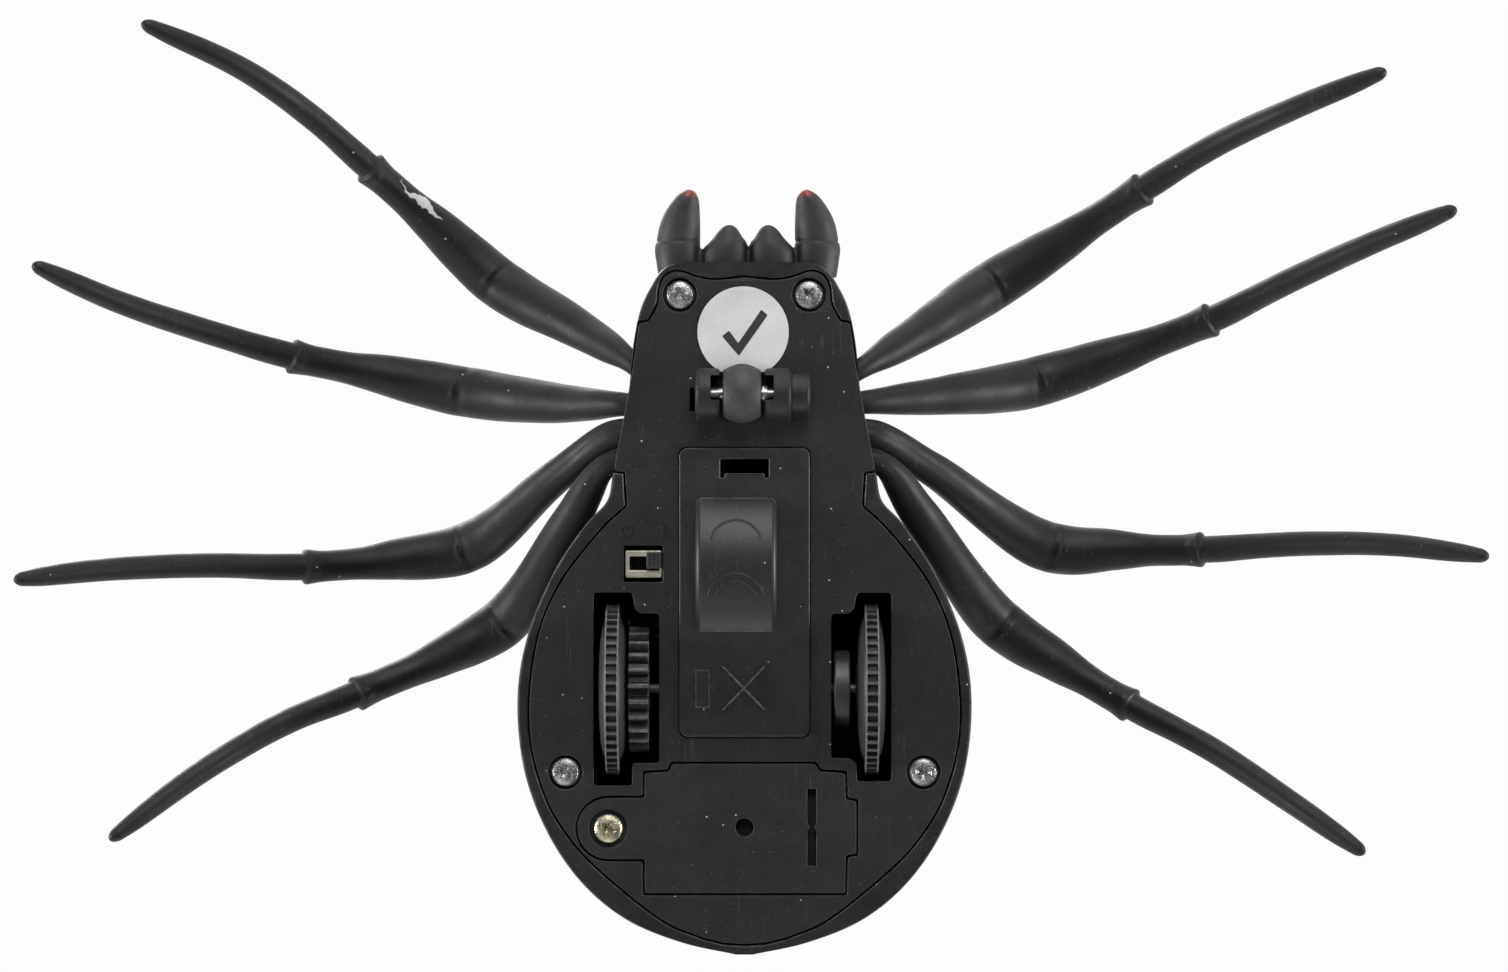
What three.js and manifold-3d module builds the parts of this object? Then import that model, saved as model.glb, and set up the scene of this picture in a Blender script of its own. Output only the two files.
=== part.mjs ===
// A remote-controlled toy spider that drives on two geared wheels and a nose roller.
// Millimetres, +Z up, standing on its wheels on Z = 0. The head points along -Y and the tail along +Y.
// X = 0 is the body's centre plane, and right and left are the spider's own, so its right side is at -X.
import * as THREE from 'three';
import { mergeVertices } from 'three/addons/utils/BufferGeometryUtils.js';
import Module from 'manifold-3d';

const wasm = await Module();
wasm.setup();

// ---------------------------------------------------------------- driving dimensions
const GAP = 0.3; // running and fitting gap between neighbouring pieces
const PLATE_LOW = 7.5; // underside of the chassis plate above the floor
const PLATE_HIGH = 9.3;
const WALL = 1.6; // moulded wall of the upper shell
const BELT = 13; // height at which the shell is widest
const RIM_INSET = 0.6; // how far the shell's lower edge lies inside its widest line

const WHEEL_R = 12.5;
const AXLE = { y: 28.8, z: WHEEL_R, r: 0.75, left: 20.2, right: -20.6 };
const WHEEL_RIGHT_X = -18.8;
const WHEEL_LEFT_X = 18.1;
const RUNNING_R = AXLE.r + 0.12; // bore of a piece that turns on a 1.5 mm pin
const FIXED_R = AXLE.r + 0.1; // bore of a piece fixed on a 1.5 mm pin

const FINAL_MODULE = 0.7; // wheel gear and the pinion that drives it
const FIRST_MODULE = 0.5; // motor pinion and the gear it drives
const COLLAR = { low: 12.7, high: 15.1, r: 5.5 };
const TEETH = { wheel: 24, pinion: 8, reduction: 30, motor: 8 };

const MOTOR = { y: 10.9, z: 14.9, r: 10, low: -5.6, high: 3, shaftR: 0.5 };
const ROLLER = { x: -0.35, y: -13.4, r: 4.25, halfWidth: 2.75, pinR: 0.85 };
const SCREW = { headR: 2.1, shankR: 1.1, pilotR: 1.35, recessR: 2.45 };
const FRONT_SCREW = { x: 9.2, y: -27.5 };
const REAR_SCREW = { x: 25.5, y: 40.5 };
const DOOR_SCREW = { x: -19.4, y: 48.5 };
const CELL = { r: 5.8, length: 5.3, pitch: 5.4, y: 48.5, z: 15.1, low: -12.8 };
const STICKER = { x: -0.2, y: -22.2, r: 6.5, cut: -16.5 };

// ---------------------------------------------------------------- solids and booleans
// A closed geometry as a manifold solid, with its shared vertices merged.
function solid(geometry) {
  const flat = geometry.index ? geometry.toNonIndexed() : geometry;
  const bare = new THREE.BufferGeometry().setAttribute('position', flat.getAttribute('position').clone());
  const merged = mergeVertices(bare, 1e-4);
  return new wasm.Manifold(new wasm.Mesh({
    numProp: 3,
    vertProperties: merged.attributes.position.array,
    triVerts: new Uint32Array(merged.index.array),
  }));
}

function geometryOf(made) {
  const mesh = made.getMesh();
  const geometry = new THREE.BufferGeometry();
  geometry.setAttribute('position', new THREE.BufferAttribute(new Float32Array(mesh.vertProperties), 3));
  geometry.setIndex(new THREE.BufferAttribute(new Uint32Array(mesh.triVerts), 1));
  geometry.computeVertexNormals();
  return geometry;
}

const joined = (geometries) => geometries.map(solid).reduce((a, b) => a.add(b));

// The first list of closed geometries joined, with the second list cut away.
function carve(kept, removed) {
  const body = joined(kept);
  return geometryOf(removed.length ? body.subtract(joined(removed)) : body);
}

// ---------------------------------------------------------------- basic shapes
const at = (x, y) => new THREE.Vector2(x, y);

function box(x0, x1, y0, y1, z0, z1) {
  return new THREE.BoxGeometry(x1 - x0, y1 - y0, z1 - z0)
    .translate((x0 + x1) / 2, (y0 + y1) / 2, (z0 + z1) / 2);
}

function rod(x, y, z0, z1, radius, sides = 16) {
  return new THREE.CylinderGeometry(radius, radius, z1 - z0, sides)
    .rotateX(Math.PI / 2).translate(x, y, (z0 + z1) / 2);
}

function slab(outline, z0, z1) {
  return new THREE.ExtrudeGeometry(new THREE.Shape(outline), { depth: z1 - z0, bevelEnabled: false })
    .translate(0, 0, z0);
}

// Turns what was drawn in (Y, Z) and raised along the third axis so that it stands along X.
const ALONG_X = new THREE.Matrix4().makeBasis(
  new THREE.Vector3(0, 1, 0), new THREE.Vector3(0, 0, 1), new THREE.Vector3(1, 0, 0));

function acrossX(shape, x0, x1) {
  return new THREE.ExtrudeGeometry(shape, { depth: x1 - x0, bevelEnabled: false, curveSegments: 10 })
    .translate(0, 0, x0).applyMatrix4(ALONG_X);
}

function rodX(x0, x1, y, z, radius, sides = 16) {
  return new THREE.CylinderGeometry(radius, radius, x1 - x0, sides)
    .rotateZ(Math.PI / 2).translate((x0 + x1) / 2, y, z);
}

// A turned piece on an axis along X: the profile's points are (radius, x), in order of rising x outside.
function turnedX(profile, y, z, sides = 24) {
  return new THREE.LatheGeometry(profile, sides).rotateZ(-Math.PI / 2).translate(0, y, z);
}

// A turned piece on an upright axis: the profile's points are (radius, z), from the bottom up.
function turnedZ(profile, x, y, sides = 24) {
  return new THREE.LatheGeometry(profile, sides).rotateX(Math.PI / 2).translate(x, y, 0);
}

// Moves a closed outline outwards by a distance, point by point.
function grown(outline, distance) {
  const ring = THREE.ShapeUtils.isClockWise(outline) ? [...outline].reverse() : outline;
  return ring.map((point, i) => {
    const before = ring[(i + ring.length - 1) % ring.length];
    const after = ring[(i + 1) % ring.length];
    const entering = point.clone().sub(before).normalize();
    const leaving = after.clone().sub(point).normalize();
    const outward = at(entering.y + leaving.y, -entering.x - leaving.x).normalize();
    const miter = Math.max(0.6, outward.dot(at(entering.y, -entering.x)));
    return point.clone().addScaledVector(outward, distance / miter);
  });
}

function roundedBox(x0, x1, y0, y1, radius, steps = 4) {
  const corners = [[x1, y1, 0], [x0, y1, 1], [x0, y0, 2], [x1, y0, 3]];
  return corners.flatMap(([x, y, quarter]) => {
    const centre = at(x === x1 ? x - radius : x + radius, y === y1 ? y - radius : y + radius);
    return Array.from({ length: steps + 1 }, (_, i) => {
      const angle = (quarter + i / steps) * Math.PI / 2;
      return at(centre.x + radius * Math.cos(angle), centre.y + radius * Math.sin(angle));
    });
  });
}

// A turned body bent along a path: the profile's points are (radius, share of the path), both ends on the axis.
function bent(profile, path, sides) {
  const steps = 200;
  const frames = path.computeFrenetFrames(steps, false);
  const geometry = new THREE.LatheGeometry(profile, sides);
  const position = geometry.getAttribute('position');
  const moved = new THREE.Vector3();
  for (let i = 0; i < position.count; i++) {
    const share = Math.min(1, Math.max(0, position.getY(i)));
    const k = Math.round(share * steps);
    path.getPointAt(share, moved)
      .addScaledVector(frames.normals[k], position.getX(i))
      .addScaledVector(frames.binormals[k], -position.getZ(i));
    position.setXYZ(i, moved.x, moved.y, moved.z);
  }
  return geometry;
}

const spline = (points) => new THREE.CatmullRomCurve3(points.map((p) => new THREE.Vector3(...p)));

// ---------------------------------------------------------------- body outlines
// Right half of the chassis plate, from the middle of the front edge to the tail.
const COVER_HALF = [
  ...new THREE.SplineCurve([at(0, -30), at(4.2, -29.6), at(6.8, -30), at(9.4, -30.8), at(11.2, -30.2),
    at(12, -28.6), at(12.3, -26.2), at(13.6, -23.7)]).getPoints(12),
  at(15, -23.5), at(15.9, -17), at(17.2, -10), at(18.5, -3.1), at(18.4, -2.4), at(17, -2.3),
  ...new THREE.SplineCurve([at(16.7, 2.6), at(20.5, 6.2), at(25.8, 13), at(29, 20), at(30.5, 28.8),
    at(30.3, 36.5), at(28.3, 43.8), at(25.4, 49), at(21, 54), at(12, 61.3), at(6, 64)]).getPoints(18),
  at(0, 64.9),
];
const COVER = [...COVER_HALF, ...COVER_HALF.slice(1, -1).reverse().map((p) => at(-p.x, p.y))];

// Stations of the upper shell: half width at the belt, place along Y, and height of the back above the floor.
const BODY = spline([
  [10.2, -32, 15], [13, -30, 18.4], [14.8, -26.5, 21.8], [15.9, -21, 25.3], [16.6, -14, 27],
  [17.8, -7, 26.2], [18.9, -2, 24.2], [19.6, 1.6, 25.2], [22.6, 5, 29.6], [27.3, 12, 35.2],
  [31.2, 21.5, 39.2], [32.5, 30, 40.4], [31.6, 40, 38.8], [28.4, 48.8, 34.8], [23.4, 56.2, 29.2],
  [17, 61.5, 23.6], [9, 64.8, 18], [1.5, 66.5, 13.6],
]);
const BODY_RINGS = 24;
const RING_STEPS = 12;
const BODY_MIDDLE = 17;
const BODY_HALF_LENGTH = 49.5;

// How full a cross section is: an oval over the head and the abdomen, pinched at the waist.
const fullness = (y) => 2.3 - 0.75 * Math.exp(-(((y - 0.5) / 4.5) ** 2));

function bodyRing(station, inset, low) {
  const halfWidth = station.x - inset;
  const rise = station.z - inset - BELT;
  const y = BODY_MIDDLE + (station.y - BODY_MIDDLE) * (1 - inset / BODY_HALF_LENGTH);
  const power = 2 / fullness(station.y);
  const over = Array.from({ length: RING_STEPS + 1 }, (_, i) => {
    const angle = i / RING_STEPS * Math.PI;
    const across = Math.abs(Math.cos(angle)) ** power * Math.sign(Math.cos(angle));
    return new THREE.Vector3(halfWidth * across, y, BELT + rise * Math.sin(angle) ** power);
  });
  const foot = Math.max(0.2, halfWidth - (inset > 0 ? 0 : RIM_INSET));
  return [new THREE.Vector3(foot, y, low), ...over, new THREE.Vector3(-foot, y, low)];
}

// Skins a row of rings of equal length, and closes both ends with fans.
function loft(rings) {
  const count = rings[0].length;
  const faces = [];
  rings.slice(1).forEach((next, i) => {
    for (let j = 0; j < count; j++) {
      const k = (j + 1) % count;
      faces.push(rings[i][j], next[j], next[k], rings[i][j], next[k], rings[i][k]);
    }
  });
  const last = rings[rings.length - 1];
  for (let j = 1; j < count - 1; j++) {
    faces.push(rings[0][0], rings[0][j], rings[0][j + 1], last[0], last[j + 1], last[j]);
  }
  return new THREE.BufferGeometry().setFromPoints(faces);
}

// The shell's solid form, moved inwards by an inset, down to a given height.
function bodyForm(inset, low) {
  return loft(BODY.getPoints(BODY_RINGS - 1).map((station) => bodyRing(station, inset, low)));
}

// ---------------------------------------------------------------- legs
// Soft legs: stations from the plug inside the shell, over the knee, to the tip of the foot.
const LEGS = {
  leg_right_1: [[-13.5, -15, 12], [-15.8, -17.6, 12.5], [-24.3, -23.2, 22], [-36, -30, 30.5],
    [-45.5, -38.5, 29], [-54.5, -46.5, 23.5], [-62.8, -53.8, 17.5], [-72, -60, 9.5], [-85.3, -65.8, 2.2]],
  leg_right_2: [[-14.5, -12, 12], [-17.5, -12, 12.5], [-27, -12.3, 21.5], [-41, -14.1, 30.5],
    [-53.5, -16.7, 29.5], [-66, -19.2, 25], [-78, -22.7, 18.5], [-89.5, -26.6, 10.5], [-100.7, -31.6, 2.2]],
  leg_right_3: [[-15, -8.6, 12], [-19, -8.2, 12.5], [-27, -2.3, 19], [-40.5, 8.6, 30.5],
    [-52, 10.6, 29], [-64, 11.5, 24], [-78, 11.2, 17.5], [-91.5, 11.7, 10], [-103.3, 13, 2.2]],
  leg_right_4: [[-15.5, -4.8, 12], [-20, -3.3, 12.5], [-25.4, 5, 18], [-35, 19.3, 30.5],
    [-44, 24.6, 29], [-56.5, 30, 24], [-66.5, 34, 17.5], [-77.5, 40.5, 10], [-89.8, 49.8, 2.2]],
  leg_left_1: [[13.5, -15, 12], [16.7, -17.1, 12.5], [26, -22.9, 22], [36, -29.5, 30.5], [46.5, -36, 29],
    [58, -43.5, 23.5], [68, -49.5, 17.5], [78, -54, 9.5], [90.8, -59, 2.2]],
  leg_left_2: [[14.5, -12, 12], [17.5, -12.3, 12.5], [29.5, -13.5, 21.5], [42, -15.4, 30.5],
    [55, -19.5, 29], [68, -24.5, 24.5], [78.5, -29.8, 18], [89, -34.7, 10.5], [100.7, -39.5, 2.2]],
  leg_left_3: [[15, -8.6, 12], [19, -8.2, 12.5], [27.3, -3, 19], [44.5, 8.6, 30.5], [55, 9.1, 29],
    [66.5, 9, 24], [79.5, 8.1, 17.5], [92, 8.1, 10], [105.3, 9.7, 2.2]],
  leg_left_4: [[15.5, -4.8, 12], [20, -3.5, 12.5], [25.4, 3.8, 18], [37, 19.5, 30.5],
    [46.5, 25.9, 29], [56.1, 31.7, 24], [67, 37.5, 17.5], [77.5, 44.5, 10], [87.7, 51.7, 2.2]],
};

// Station along the leg, and radius there. The hind pairs, 3 and 4, are slimmer above the knee. The step just past
// station 5 is the ankle's collar.
const PLUG_GIRTH = [[0, 1.3], [0.5, 1.35]];
const FRONT_THIGH = [[1, 1.6], [1.5, 2.3], [1.8, 2.65], [2.2, 3.15], [2.6, 3.5]];
const HIND_THIGH = [[1, 1.5], [1.5, 1.85], [2, 2.4], [2.5, 3.05], [2.8, 3.5]];
const SHIN_GIRTH = [
  [3, 3.7], [3.3, 3.65], [3.6, 3.4], [4, 2.9], [4.4, 2.35], [4.7, 2.3], [4.93, 2.6], [5, 2.6], [5.06, 1.95],
  [5.5, 1.85], [6, 1.8], [6.5, 1.7], [7, 1.65], [7.4, 1.55], [7.7, 1.35], [7.9, 1.1], [7.98, 0.7],
];
const LEG_SIDES = 8;
const SOCKET_END = 2; // station at which a socket's cutter ends

// A leg's form from the plug to a given station, thickened by a margin.
function leg(name, end = LEGS[name].length - 1, margin = 0) {
  const stations = LEGS[name];
  const path = spline(stations);
  const lengths = path.getLengths(400);
  const share = (station) => lengths[Math.round(station / (stations.length - 1) * 400)] / lengths[400];
  const thigh = /[34]$/.test(name) ? HIND_THIGH : FRONT_THIGH;
  const girth = [...PLUG_GIRTH, ...thigh, ...SHIN_GIRTH].filter(([station]) => station < end);
  const profile = [at(0, 0), ...girth.map(([station, radius]) => at(radius + margin, share(station))),
    at(0, share(end))];
  return bent(profile, path, LEG_SIDES);
}

// ---------------------------------------------------------------- upper shell
const IR_WINDOW = { y: 13, r: 2.6, low: 28.6, high: 36.9 };
const LED = { x: 4.2, y: -27, z: 21, r: 1.5, tilt: 0.9 };
const BOSS_R = 2.7;
const BOSS_TOP = 40;
const SCREW_TIP = 16;
const PEG = { x: 5.2, r: 1.6, z: 11.6, low: -33.6, high: -28.4 };

const shellScrews = [[1, FRONT_SCREW], [-1, FRONT_SCREW], [1, REAR_SCREW], [-1, REAR_SCREW]]
  .map(([side, screw]) => at(side * screw.x, screw.y));

// A piece drawn upright at the origin, set into the brow where an eye looks forwards and up.
const inBrow = (geometry, side) => geometry.rotateX(LED.tilt).translate(side * LED.x, LED.y, LED.z);

const pegY = (x, radius, low, high) => new THREE.CylinderGeometry(radius, radius, high - low, 10)
  .translate(x, (low + high) / 2, PEG.z);

function upperShell() {
  const outside = solid(bodyForm(0, PLATE_LOW));
  const inside = solid(bodyForm(WALL, PLATE_HIGH + GAP));
  const bosses = shellScrews.map((s) => solid(rod(s.x, s.y, PLATE_HIGH + GAP, BOSS_TOP, BOSS_R)).intersect(outside));
  const cuts = [
    slab(grown(COVER, GAP), PLATE_LOW - 1, PLATE_HIGH + GAP),
    slab(grown(DOOR, 1.4 + GAP), PLATE_LOW, PLATE_HIGH + 1 + GAP),
    ...shellScrews.map((s) => rod(s.x, s.y, PLATE_LOW, SCREW_TIP + 0.5, SCREW.pilotR, 10)),
    ...Object.keys(LEGS).map((name) => leg(name, SOCKET_END, GAP)),
    rod(0, IR_WINDOW.y, IR_WINDOW.low, BOSS_TOP, IR_WINDOW.r + GAP),
    ...[-1, 1].map((side) => inBrow(rod(0, 0, -4, 4, LED.r + GAP, 12), side)),
    ...[-1, 1].map((side) => pegY(side * PEG.x, PEG.r + GAP, PEG.low, PEG.high + 1)),
  ];
  const hollow = bosses.reduce((a, b) => a.add(b), outside.subtract(inside));
  return geometryOf(hollow.subtract(joined(cuts)));
}

// ---------------------------------------------------------------- jaws
// Two curved fangs with two short feelers between them, moulded as one piece with two pegs behind.
const FANG_GIRTH = [[0, 3.1], [0.35, 3.15], [0.6, 2.85], [0.78, 2.35], [0.9, 1.7], [0.97, 0.9]];
const FEELER_GIRTH = [[0, 2.8], [0.58, 2.8], [0.7, 2.35], [0.81, 1.7], [0.92, 1.05], [0.975, 0.5]];
const JAW_SIDES = 10;

function lobe(girth, stations) {
  const profile = [at(0, 0), ...girth.map(([share, radius]) => at(radius, share)), at(0, 1)];
  return bent(profile, spline(stations), JAW_SIDES);
}

function jaws() {
  const lobes = [-1, 1].flatMap((side) => [
    lobe(FANG_GIRTH, [[10.2, -29.5, 13.2], [10.5, -34.5, 13.4], [9.9, -39, 12.7], [8.7, -42.4, 11]]
      .map(([x, y, z]) => [side * x, y, z])),
    lobe(FEELER_GIRTH, [[2.85, -29.5, 12.4], [2.7, -34, 12.4], [2.3, -37.5, 11.4]]
      .map(([x, y, z]) => [side * x, y, z])),
  ]);
  const web = box(-9.5, 9.5, -34, -29.5, 10.4, 14.6);
  const front = joined([...lobes, web]).subtract(solid(bodyForm(-GAP, 0)));
  const pegs = [-1, 1].map((side) => solid(pegY(side * PEG.x, PEG.r, PEG.low, PEG.high)));
  return geometryOf(pegs.reduce((a, b) => a.add(b), front));
}

// ---------------------------------------------------------------- chassis plate
// Slots for the two wheels, each with a side pocket for the piece beside the wheel.
const SLOT_RIGHT = [at(-21.5, 14.9), at(-16, 14.9), at(-15.6, 17.2), at(-15, 17.9), at(-12.15, 17.9),
  at(-12.15, 39.2), at(-16, 39.2), at(-16, 42.4), at(-21.5, 42.4)];
const SLOT_LEFT = [at(20.9, 14.9), at(16, 14.9), at(15.6, 17.2), at(15, 17.9), at(12.35, 17.9),
  at(12.35, 38.5), at(15, 38.5), at(16, 39.2), at(16, 41.8), at(20.9, 41.8)];

const DOOR_HALF_EAR = 4.35;
function doorOutline() {
  const ear = Array.from({ length: 13 }, (_, i) => {
    const angle = Math.PI * (0.5 + i / 12);
    return at(DOOR_SCREW.x + DOOR_HALF_EAR * Math.cos(angle), DOOR_SCREW.y + DOOR_HALF_EAR * Math.sin(angle));
  });
  return [at(-10.3, 39.3), at(-10.7, 40.4), at(-14.2, 40.6), at(-14.2, CELL.y - DOOR_HALF_EAR),
    ...ear.reverse(),
    at(-14.2, CELL.y + DOOR_HALF_EAR), at(-14.2, 57.7), at(14.3, 57.7), at(14.4, 52.3), at(15.9, 52.1),
    at(15.9, 44.6), at(14.4, 44.4), at(14.3, 40.6), at(10.7, 40.4), at(10.1, 39.3)];
}
const DOOR = doorOutline();
const DOOR_HIGH = 8.9;
const DOOR_GAP = 0.25;

const PANEL = { x: 9.3, low: -5.7, high: 35.4, under: 7.1, over: 8.1, corner: 1.2 };
const LEDGE = 0.9;
const TRAY = { x: 14, wall: 1, low: 42, high: 55, top: 21.2, roof: 0.8, divider: 9.8 };
const SWITCH = { low: -17, high: -11.8, front: 8.9, rear: 12.8, under: 8.2, over: 11.8 };
const SWITCH_WINDOW = { low: -17.2, high: -11.65, front: 8.2, rear: 13.4 };
const LUGS = [[-6.9, -3.45, 3.9], [2.8, 6.65, 3.9], [6.65, 9.45, 3.4]];
const LUG_PIN = { low: -6.2, high: 8.4 };
const ROLLER_POCKET = { x: 3.1, y: 3, top: 9.2, roof: 10.1 };

// A round-ended lug that hangs below the plate and carries the nose roller's pin.
function lug(x0, x1, radius) {
  const shape = new THREE.Shape().moveTo(ROLLER.y - radius, PLATE_LOW + 0.5)
    .absarc(ROLLER.y, ROLLER.r, radius, Math.PI, 2 * Math.PI, false)
    .lineTo(ROLLER.y + radius, PLATE_LOW + 0.5);
  return acrossX(shape, x0, x1);
}

function bottomCover() {
  const kept = [
    slab(COVER, PLATE_LOW, PLATE_HIGH),
    slab(grown(DOOR, 1.4), PLATE_HIGH - 0.5, PLATE_HIGH + 1),
    box(-TRAY.x - TRAY.wall, TRAY.x + TRAY.wall, TRAY.low - TRAY.wall, TRAY.high + TRAY.wall,
      PLATE_HIGH - 0.5, TRAY.top + TRAY.roof),
    rod(DOOR_SCREW.x, DOOR_SCREW.y, PLATE_HIGH, SCREW_TIP + 1, BOSS_R),
    box(ROLLER.x - 4.2, ROLLER.x + 4.2, ROLLER.y - 4.2, ROLLER.y + 4.2, PLATE_HIGH - 0.5, ROLLER_POCKET.roof),
    ...LUGS.map((l) => lug(...l)),
  ];
  const removed = [
    slab(SLOT_RIGHT, 0, 20),
    slab(SLOT_LEFT, 0, 20),
    slab(grown(DOOR, DOOR_GAP), 0, PLATE_HIGH),
    box(-TRAY.x, TRAY.divider, TRAY.low, TRAY.high, 5, TRAY.top),
    box(TRAY.divider + 1.2, TRAY.x, TRAY.low, TRAY.high, 5, TRAY.top),
    slab(roundedBox(-PANEL.x - DOOR_GAP, PANEL.x + DOOR_GAP, PANEL.low - DOOR_GAP, PANEL.high + DOOR_GAP,
      PANEL.corner), 0, PLATE_HIGH - LEDGE),
    box(-PANEL.x + LEDGE, PANEL.x - LEDGE, PANEL.low + LEDGE, PANEL.high - LEDGE, 0, 20),
    box(SWITCH_WINDOW.low, SWITCH_WINDOW.high, SWITCH_WINDOW.front, SWITCH_WINDOW.rear, 0, 20),
    box(ROLLER.x - ROLLER_POCKET.x, ROLLER.x + ROLLER_POCKET.x, ROLLER.y - ROLLER_POCKET.y,
      ROLLER.y + ROLLER_POCKET.y, 0, ROLLER_POCKET.top),
    rodX(LUG_PIN.low, LUG_PIN.high, ROLLER.y, ROLLER.r, ROLLER.pinR + 0.15),
    rod(DOOR_SCREW.x, DOOR_SCREW.y, 5, SCREW_TIP + 0.5, SCREW.pilotR, 10),
    ...shellScrews.flatMap((s) => [
      rod(s.x, s.y, 0, PLATE_LOW + 1, SCREW.recessR),
      rod(s.x, s.y, 5, 20, SCREW.pilotR, 10),
    ]),
  ];
  return carve(kept, removed);
}

// The snap-in panel under the motor, with an arched bulge that clears the motor's can.
const BULGE = { low: -6.9, high: 4.5, r: 14, wall: 1.2 };
const BULGE_Z = PANEL.under + Math.sqrt(BULGE.r ** 2 - 9.6 ** 2);
const LATCH = { x: 3.45, low: -4.1, high: -2.1, notch: 0.6 };

function centreCover() {
  const outer = solid(rodX(BULGE.low, BULGE.high, MOTOR.y, BULGE_Z, BULGE.r, 72))
    .intersect(solid(box(-20, 20, -20, 40, 0, PANEL.over)));
  const inner = solid(rodX(BULGE.low + BULGE.wall, BULGE.high - BULGE.wall, MOTOR.y, BULGE_Z,
    BULGE.r - BULGE.wall, 72));
  const cuts = joined([
    box(-LATCH.x, LATCH.x, LATCH.low, LATCH.high, 0, 20),
    box(-LATCH.x, -LATCH.x + LATCH.notch, LATCH.low, LATCH.high + LATCH.notch, 0, 20),
    box(LATCH.x - LATCH.notch, LATCH.x, LATCH.low, LATCH.high + LATCH.notch, 0, 20),
  ]);
  const panel = solid(slab(roundedBox(-PANEL.x, PANEL.x, PANEL.low, PANEL.high, PANEL.corner),
    PANEL.under, PANEL.over));
  return geometryOf(panel.add(outer).subtract(inner).subtract(cuts));
}

// The screwed battery door: a peephole, a pinched slit over the contact plate, and an ear for the screw.
const DOOR_SLIT = { x: 9.65, halfWidth: 0.55, low: 43, high: 54, pinch: 48.4 };

function batteryDoor() {
  const { x, halfWidth, low, high, pinch } = DOOR_SLIT;
  const slit = [at(x - halfWidth, low), at(x + halfWidth, low), at(x + halfWidth, pinch - 0.6),
    at(x + halfWidth / 2, pinch), at(x + halfWidth, pinch + 0.6), at(x + halfWidth, high),
    at(x - halfWidth, high), at(x - halfWidth, pinch + 0.6), at(x - halfWidth / 2, pinch),
    at(x - halfWidth, pinch - 0.6)];
  return carve([slab(DOOR, PLATE_LOW, DOOR_HIGH)], [
    slab(slit, 0, 20),
    rod(0, CELL.y - 0.1, 0, 20, 1.3, 20),
    rod(DOOR_SCREW.x, DOOR_SCREW.y, 0, PLATE_LOW + 0.7, SCREW.recessR + 0.3),
    rod(DOOR_SCREW.x, DOOR_SCREW.y, 0, 20, SCREW.pilotR, 10),
  ]);
}

// ---------------------------------------------------------------- fasteners
// A pan-head screw, head down, with a cross recess. The head's outer face is at zero.
const HEAD_HEIGHT = 0.85;

function screw(x, y, low) {
  const { headR, shankR } = SCREW;
  const turned = turnedZ([at(0, 0), at(headR * 0.55, 0.03), at(headR * 0.88, 0.22), at(headR, 0.5),
    at(headR, HEAD_HEIGHT), at(shankR, HEAD_HEIGHT), at(shankR, SCREW_TIP - low - 1), at(0.2, SCREW_TIP - low),
    at(0, SCREW_TIP - low)], 0, 0, 12);
  const recess = [box(-1.2, 1.2, -0.28, 0.28, -1, 0.6), box(-0.28, 0.28, -1.2, 1.2, -1, 0.6)];
  return carve([turned], recess).rotateZ(0.5).translate(x, y, low);
}

// ---------------------------------------------------------------- drive train
// A spur gear's outline in (Y, Z), with one tooth pointing along the given angle. Teeth are thinned for backlash.
function gearShape(teeth, module, angle, boreR) {
  const pitch = teeth * module / 2;
  const tip = pitch + module * 0.85;
  const root = pitch - module * 1.2;
  const step = 2 * Math.PI / teeth;
  const corners = [[-0.3, root], [-0.1, tip], [0.1, tip], [0.3, root]];
  const outline = Array.from({ length: teeth }, (_, i) => corners.map(([share, radius]) => {
    const turn = angle + (i + share) * step;
    return at(radius * Math.cos(turn), radius * Math.sin(turn));
  })).flat();
  const shape = new THREE.Shape(outline);
  if (boreR) shape.holes.push(new THREE.Path().absarc(0, 0, boreR, 0, 2 * Math.PI));
  return shape;
}

const gear = (shape, x0, x1, y, z) => acrossX(shape, x0, x1).translate(0, y, z);

// The reduction gear's axis lies where both pairs mesh, above the line from the motor to the axle.
const MESH_SLACK = 0.08;
const reachMotor = FIRST_MODULE * (TEETH.motor + TEETH.reduction) / 2 + MESH_SLACK;
const reachWheel = FINAL_MODULE * (TEETH.wheel + TEETH.pinion) / 2 + MESH_SLACK;
const motorAxis = at(MOTOR.y, MOTOR.z);
const wheelAxis = at(AXLE.y, AXLE.z);
const span = wheelAxis.clone().sub(motorAxis);
const along = (reachMotor ** 2 - reachWheel ** 2 + span.lengthSq()) / (2 * span.length());
const above = Math.sqrt(reachMotor ** 2 - along ** 2);
const unit = span.clone().normalize();
const reductionAxis = motorAxis.clone().addScaledVector(unit, along).addScaledVector(at(-unit.y, unit.x), above);
const toWheel = wheelAxis.clone().sub(reductionAxis).angle();
const toMotor = motorAxis.clone().sub(reductionAxis).angle();

const GEAR_X = { wheelLow: -16.5, wheelHigh: -13.6, pinionLow: -16.5, diskLow: -12, diskHigh: -10 };

function wheelGear() {
  const shape = gearShape(TEETH.wheel, FINAL_MODULE, toWheel + Math.PI, FIXED_R);
  const disk = gear(shape, GEAR_X.wheelLow, GEAR_X.wheelHigh, AXLE.y, AXLE.z);
  const dish = turnedX([at(3, GEAR_X.wheelHigh - 1), at(6.4, GEAR_X.wheelHigh - 1),
    at(6.4, GEAR_X.wheelHigh + 1), at(3, GEAR_X.wheelHigh + 1), at(3, GEAR_X.wheelHigh - 1)], AXLE.y, AXLE.z);
  return carve([disk], [dish]);
}

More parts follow.
